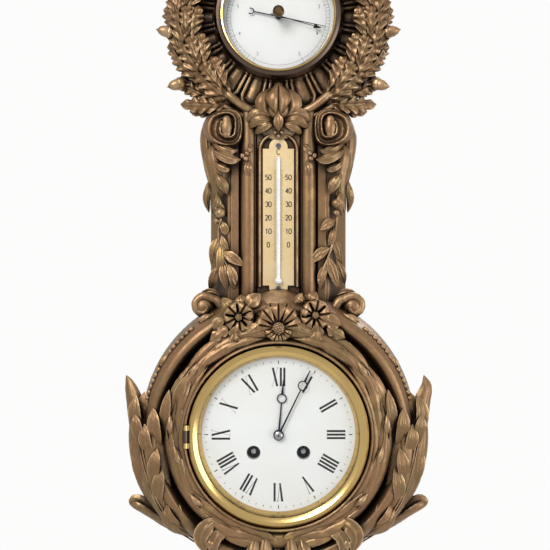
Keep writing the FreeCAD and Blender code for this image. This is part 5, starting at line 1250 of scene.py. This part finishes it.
def build_baro_printing():
    """Faint scale of the barometer: two circles, divisions and figures; and the polished ring round it."""
    work = Printing(BARO, BARO_FACE)
    outer, inner, figures_r = 53.5, 49.5, 43.5
    first, sweep, parts = -150, 300, 80           # degrees from twelve, degrees in all, divisions
    work.circle(outer, 0.3)
    work.circle(inner, 0.25)
    for i in range(parts + 1):
        start = 47.8 if i % 10 == 0 else inner if i % 2 == 0 else 51.0
        work.ray(math.radians(first + sweep * i / parts), start, outer, 0.3)
    for i, c in enumerate("345012345"):
        a = math.radians(first + sweep * i / 8)
        figure(work, c, figures_r * math.sin(a), figures_r * math.cos(a), 3.6, 0.4)
    ring = Carving(BARO)
    ring.lathe([(56.6, 52.4), (56.5, 53.8), (57.5, 54.9), (58.7, 54.7), (58.8, 52.4)])
    ring.finish("barometer_sight_ring", "case", "bezel_brass", FINISH["bezel_brass"], marks=False)
    return work.finish("barometer_figures", "case", "scale_enamel", FINISH["ink"], marks=False)


# ---------------------------------------------------------------- stage
def pale(name, colour, rough):
    """Plain, nearly even paint."""
    n = Nodes(name)
    return n.set(Base_Color=n.mix(n.noise(3, 2), colour, [v * 0.99 for v in colour]), Roughness=rough)


def soft_lamp(name, spot, aim, size, power, colour):
    """A square soft lamp at a spot, turned towards the aim."""
    lamp = bpy.data.lights.new(name, "AREA")
    lamp.energy = power
    lamp.size = size
    lamp.color = colour
    holder = bpy.data.objects.new(name, lamp)
    holder.location = spot
    holder.rotation_euler = (Vector(aim) - Vector(spot)).to_track_quat("-Z", "Y").to_euler()
    bpy.context.scene.collection.objects.link(holder)


LAMPS = (
    # name, place in metres, side of the square, share of the key's power, colour
    ("key", (-0.75, -1.45, 0.55), 0.9, 1.0, (1, 0.98, 0.95)),
    ("fill", (1.5, -1.0, -0.45), 1.2, 0.6, (0.96, 0.98, 1)),
    ("rim_behind", (0.9, 1.6, 0.9), 1.2, 0.7, (1, 1, 1)),
)
FLOOR_HALF = 2.0                                  # metres
SURROUND, SEEN_SURROUND = (0.98, 0.98, 0.985, 1), (0.975, 0.975, 0.97, 1)
SURROUND_POWER = 0.62
VIEW_X, VIEW_BACK, VIEW_OVER_CLOCK = -0.0035, 0.850, 0.1598
LENS, SENSOR = 51.05, 36.0                        # millimetres


def build_stage():
    """Pale floor, soft lamps, a bright surround and the camera in front of the dials."""
    scene = bpy.context.scene
    sizes = scene.carving_sizes
    mesh = bpy.data.meshes.new("floor")
    corners = [(x * FLOOR_HALF, y * FLOOR_HALF, sizes.floor_drop)
               for x, y in ((-1, -1), (1, -1), (1, 1), (-1, 1))]
    mesh.from_pydata(corners, [], [(0, 1, 2, 3)])
    mesh.materials.append(pale("floor_paint", [0.86, 0.855, 0.85], 0.8))
    floor = bpy.data.objects.new("floor", mesh)
    scene.collection.objects.link(floor)

    world = bpy.data.worlds.new("surround")
    scene.world = world
    world.use_nodes = True
    tree = world.node_tree
    plain = tree.nodes["Background"]
    plain.inputs["Color"].default_value = SURROUND
    plain.inputs["Strength"].default_value = SURROUND_POWER
    seen = tree.nodes.new("ShaderNodeBackground")
    seen.inputs["Color"].default_value = SEEN_SURROUND
    path = tree.nodes.new("ShaderNodeLightPath")
    both = tree.nodes.new("ShaderNodeMixShader")
    tree.links.new(path.outputs["Is Camera Ray"], both.inputs[0])
    tree.links.new(plain.outputs[0], both.inputs[1])
    tree.links.new(seen.outputs[0], both.inputs[2])
    tree.links.new(both.outputs[0], tree.nodes["World Output"].inputs["Surface"])

    aim = (0, -0.05, CLOCK[2] + 0.12)
    for name, spot, size, share, colour in LAMPS:
        soft_lamp(name, spot, aim, size, sizes.key_light * share, colour)

    camera = bpy.data.objects.new("camera", bpy.data.cameras.new("camera"))
    scene.collection.objects.link(camera)
    camera.location = (VIEW_X, -VIEW_BACK, CLOCK[2] + VIEW_OVER_CLOCK)
    camera.rotation_euler = (math.pi / 2, 0, 0)
    camera.data.sensor_width = SENSOR
    camera.data.lens = LENS
    scene.camera = camera
    scene.view_settings.view_transform = "Standard"


# ---------------------------------------------------------------- operators
class BAROMETER_OT_finishes(bpy.types.Operator):
    """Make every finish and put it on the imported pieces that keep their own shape"""
    bl_idname = "barometer.finishes"
    bl_label = "Finishes"

    def execute(self, context):
        make_finishes()
        return {"FINISHED"}


class BAROMETER_OT_round_case(bpy.types.Operator):
    """Turn the round case with its band, groove and shoulder"""
    bl_idname = "barometer.round_case"
    bl_label = "Round case"

    def execute(self, context):
        build_round_case()
        return {"FINISHED"}


class BAROMETER_OT_inner_moulding(bpy.types.Operator):
    """Carve the leafy moulding round the clock bezel"""
    bl_idname = "barometer.inner_moulding"
    bl_label = "Inner moulding"

    def execute(self, context):
        build_inner_moulding()
        return {"FINISHED"}


class BAROMETER_OT_bead_strings(bpy.types.Operator):
    """String the beads and husks on the shoulder of the case"""
    bl_idname = "barometer.bead_strings"
    bl_label = "Bead strings"

    def execute(self, context):
        build_bead_strings()
        return {"FINISHED"}


class BAROMETER_OT_neck(bpy.types.Operator):
    """Shape the neck with its columns, panels and thermometer frame"""
    bl_idname = "barometer.neck"
    bl_label = "Neck"

    def execute(self, context):
        build_neck()
        return {"FINISHED"}


class BAROMETER_OT_volutes(bpy.types.Operator):
    """Coil the two console scrolls and lay the leaves down their flanks"""
    bl_idname = "barometer.volutes"
    bl_label = "Volutes"

    def execute(self, context):
        build_volute(-1)
        build_volute(1)
        return {"FINISHED"}


class BAROMETER_OT_leaf_drops(bpy.types.Operator):
    """Hang the leaves and berries down the sides of the neck"""
    bl_idname = "barometer.leaf_drops"
    bl_label = "Leaf drops"

    def execute(self, context):
        build_leaf_drops()
        return {"FINISHED"}


class BAROMETER_OT_side_scrolls(bpy.types.Operator):
    """Coil the small scrolls on the shoulders"""
    bl_idname = "barometer.side_scrolls"
    bl_label = "Side scrolls"

    def execute(self, context):
        build_side_scrolls()
        return {"FINISHED"}


class BAROMETER_OT_flower_spray(bpy.types.Operator):
    """Carve the daisy, the two smaller flowers and their leaves"""
    bl_idname = "barometer.flower_spray"
    bl_label = "Flower spray"

    def execute(self, context):
        build_flower_spray()
        return {"FINISHED"}


class BAROMETER_OT_acanthus(bpy.types.Operator):
    """Lay the two great leaves round the shoulders of the case"""
    bl_idname = "barometer.acanthus"
    bl_label = "Acanthus leaves"

    def execute(self, context):
        build_acanthus(-1)
        build_acanthus(1)
        return {"FINISHED"}


class BAROMETER_OT_pendant_drop(bpy.types.Operator):
    """Carve the shell of leaves below the clock"""
    bl_idname = "barometer.pendant_drop"
    bl_label = "Pendant drop"

    def execute(self, context):
        build_pendant_drop()
        return {"FINISHED"}


class BAROMETER_OT_gadroon_frame(bpy.types.Operator):
    """Hollow the fluted ring round the barometer"""
    bl_idname = "barometer.gadroon_frame"
    bl_label = "Gadrooned frame"

    def execute(self, context):
        build_gadroon_frame()
        return {"FINISHED"}


class BAROMETER_OT_wreaths(bpy.types.Operator):
    """Carve the two oak branches and their acorns"""
    bl_idname = "barometer.wreaths"
    bl_label = "Oak wreath"

    def execute(self, context):
        build_wreath(-1)
        build_wreath(1)
        return {"FINISHED"}


class BAROMETER_OT_bud_boss(bpy.types.Operator):
    """Carve the bud and its folded leaves below the barometer"""
    bl_idname = "barometer.bud_boss"
    bl_label = "Bud"

    def execute(self, context):
        build_bud_boss()
        return {"FINISHED"}


class BAROMETER_OT_crest_bow(bpy.types.Operator):
    """Tie the ribbon bow at the top"""
    bl_idname = "barometer.crest_bow"
    bl_label = "Bow"

    def execute(self, context):
        build_crest_bow()
        return {"FINISHED"}


class BAROMETER_OT_clock_printing(bpy.types.Operator):
    """Fire the hours and minute track on the clock dial"""
    bl_idname = "barometer.clock_printing"
    bl_label = "Clock printing"

    def execute(self, context):
        build_clock_printing()
        return {"FINISHED"}


class BAROMETER_OT_thermometer_printing(bpy.types.Operator):
    """Engrave the figures and degrees of the thermometer"""
    bl_idname = "barometer.thermometer_printing"
    bl_label = "Thermometer printing"

    def execute(self, context):
        build_thermometer_printing()
        return {"FINISHED"}


class BAROMETER_OT_baro_printing(bpy.types.Operator):
    """Fire the faint scale on the barometer dial and set the polished ring round it"""
    bl_idname = "barometer.baro_printing"
    bl_label = "Barometer printing and ring"

    def execute(self, context):
        build_baro_printing()
        return {"FINISHED"}


class BAROMETER_OT_stage(bpy.types.Operator):
    """Lay the floor and set the lamps, surround and camera"""
    bl_idname = "barometer.stage"
    bl_label = "Stage"

    def execute(self, context):
        build_stage()
        return {"FINISHED"}


STEPS = (
    BAROMETER_OT_finishes,
    BAROMETER_OT_round_case,
    BAROMETER_OT_inner_moulding,
    BAROMETER_OT_bead_strings,
    BAROMETER_OT_neck,
    BAROMETER_OT_volutes,
    BAROMETER_OT_leaf_drops,
    BAROMETER_OT_side_scrolls,
    BAROMETER_OT_flower_spray,
    BAROMETER_OT_acanthus,
    BAROMETER_OT_pendant_drop,
    BAROMETER_OT_gadroon_frame,
    BAROMETER_OT_wreaths,
    BAROMETER_OT_bud_boss,
    BAROMETER_OT_crest_bow,
    BAROMETER_OT_clock_printing,
    BAROMETER_OT_thermometer_printing,
    BAROMETER_OT_baro_printing,
    BAROMETER_OT_stage,
)


class BAROMETER_PT_bench(bpy.types.Panel):
    """Lists every step of the barometer's making"""
    bl_idname = "BAROMETER_PT_bench"
    bl_label = "Carved wall barometer"
    bl_space_type = "VIEW_3D"
    bl_region_type = "UI"
    bl_category = "Barometer"

    def draw(self, context):
        layout = self.layout
        for group in (context.scene.carving_sizes, context.scene.finish_colours):
            for name in group.__annotations__:
                layout.prop(group, name)
        for step in STEPS:
            layout.operator(step.bl_idname)


CLASSES = (CarvingSizes, FinishColours, *STEPS, BAROMETER_PT_bench)


def register():
    for made in CLASSES:
        bpy.utils.register_class(made)
    bpy.types.Scene.carving_sizes = PointerProperty(type=CarvingSizes)
    bpy.types.Scene.finish_colours = PointerProperty(type=FinishColours)


def unregister():
    del bpy.types.Scene.finish_colours
    del bpy.types.Scene.carving_sizes
    for made in reversed(CLASSES):
        bpy.utils.unregister_class(made)


def main():
    register()
    for step in STEPS:
        group, name = step.bl_idname.split(".")
        getattr(getattr(bpy.ops, group), name)()


if __name__ == "__main__":
    main()
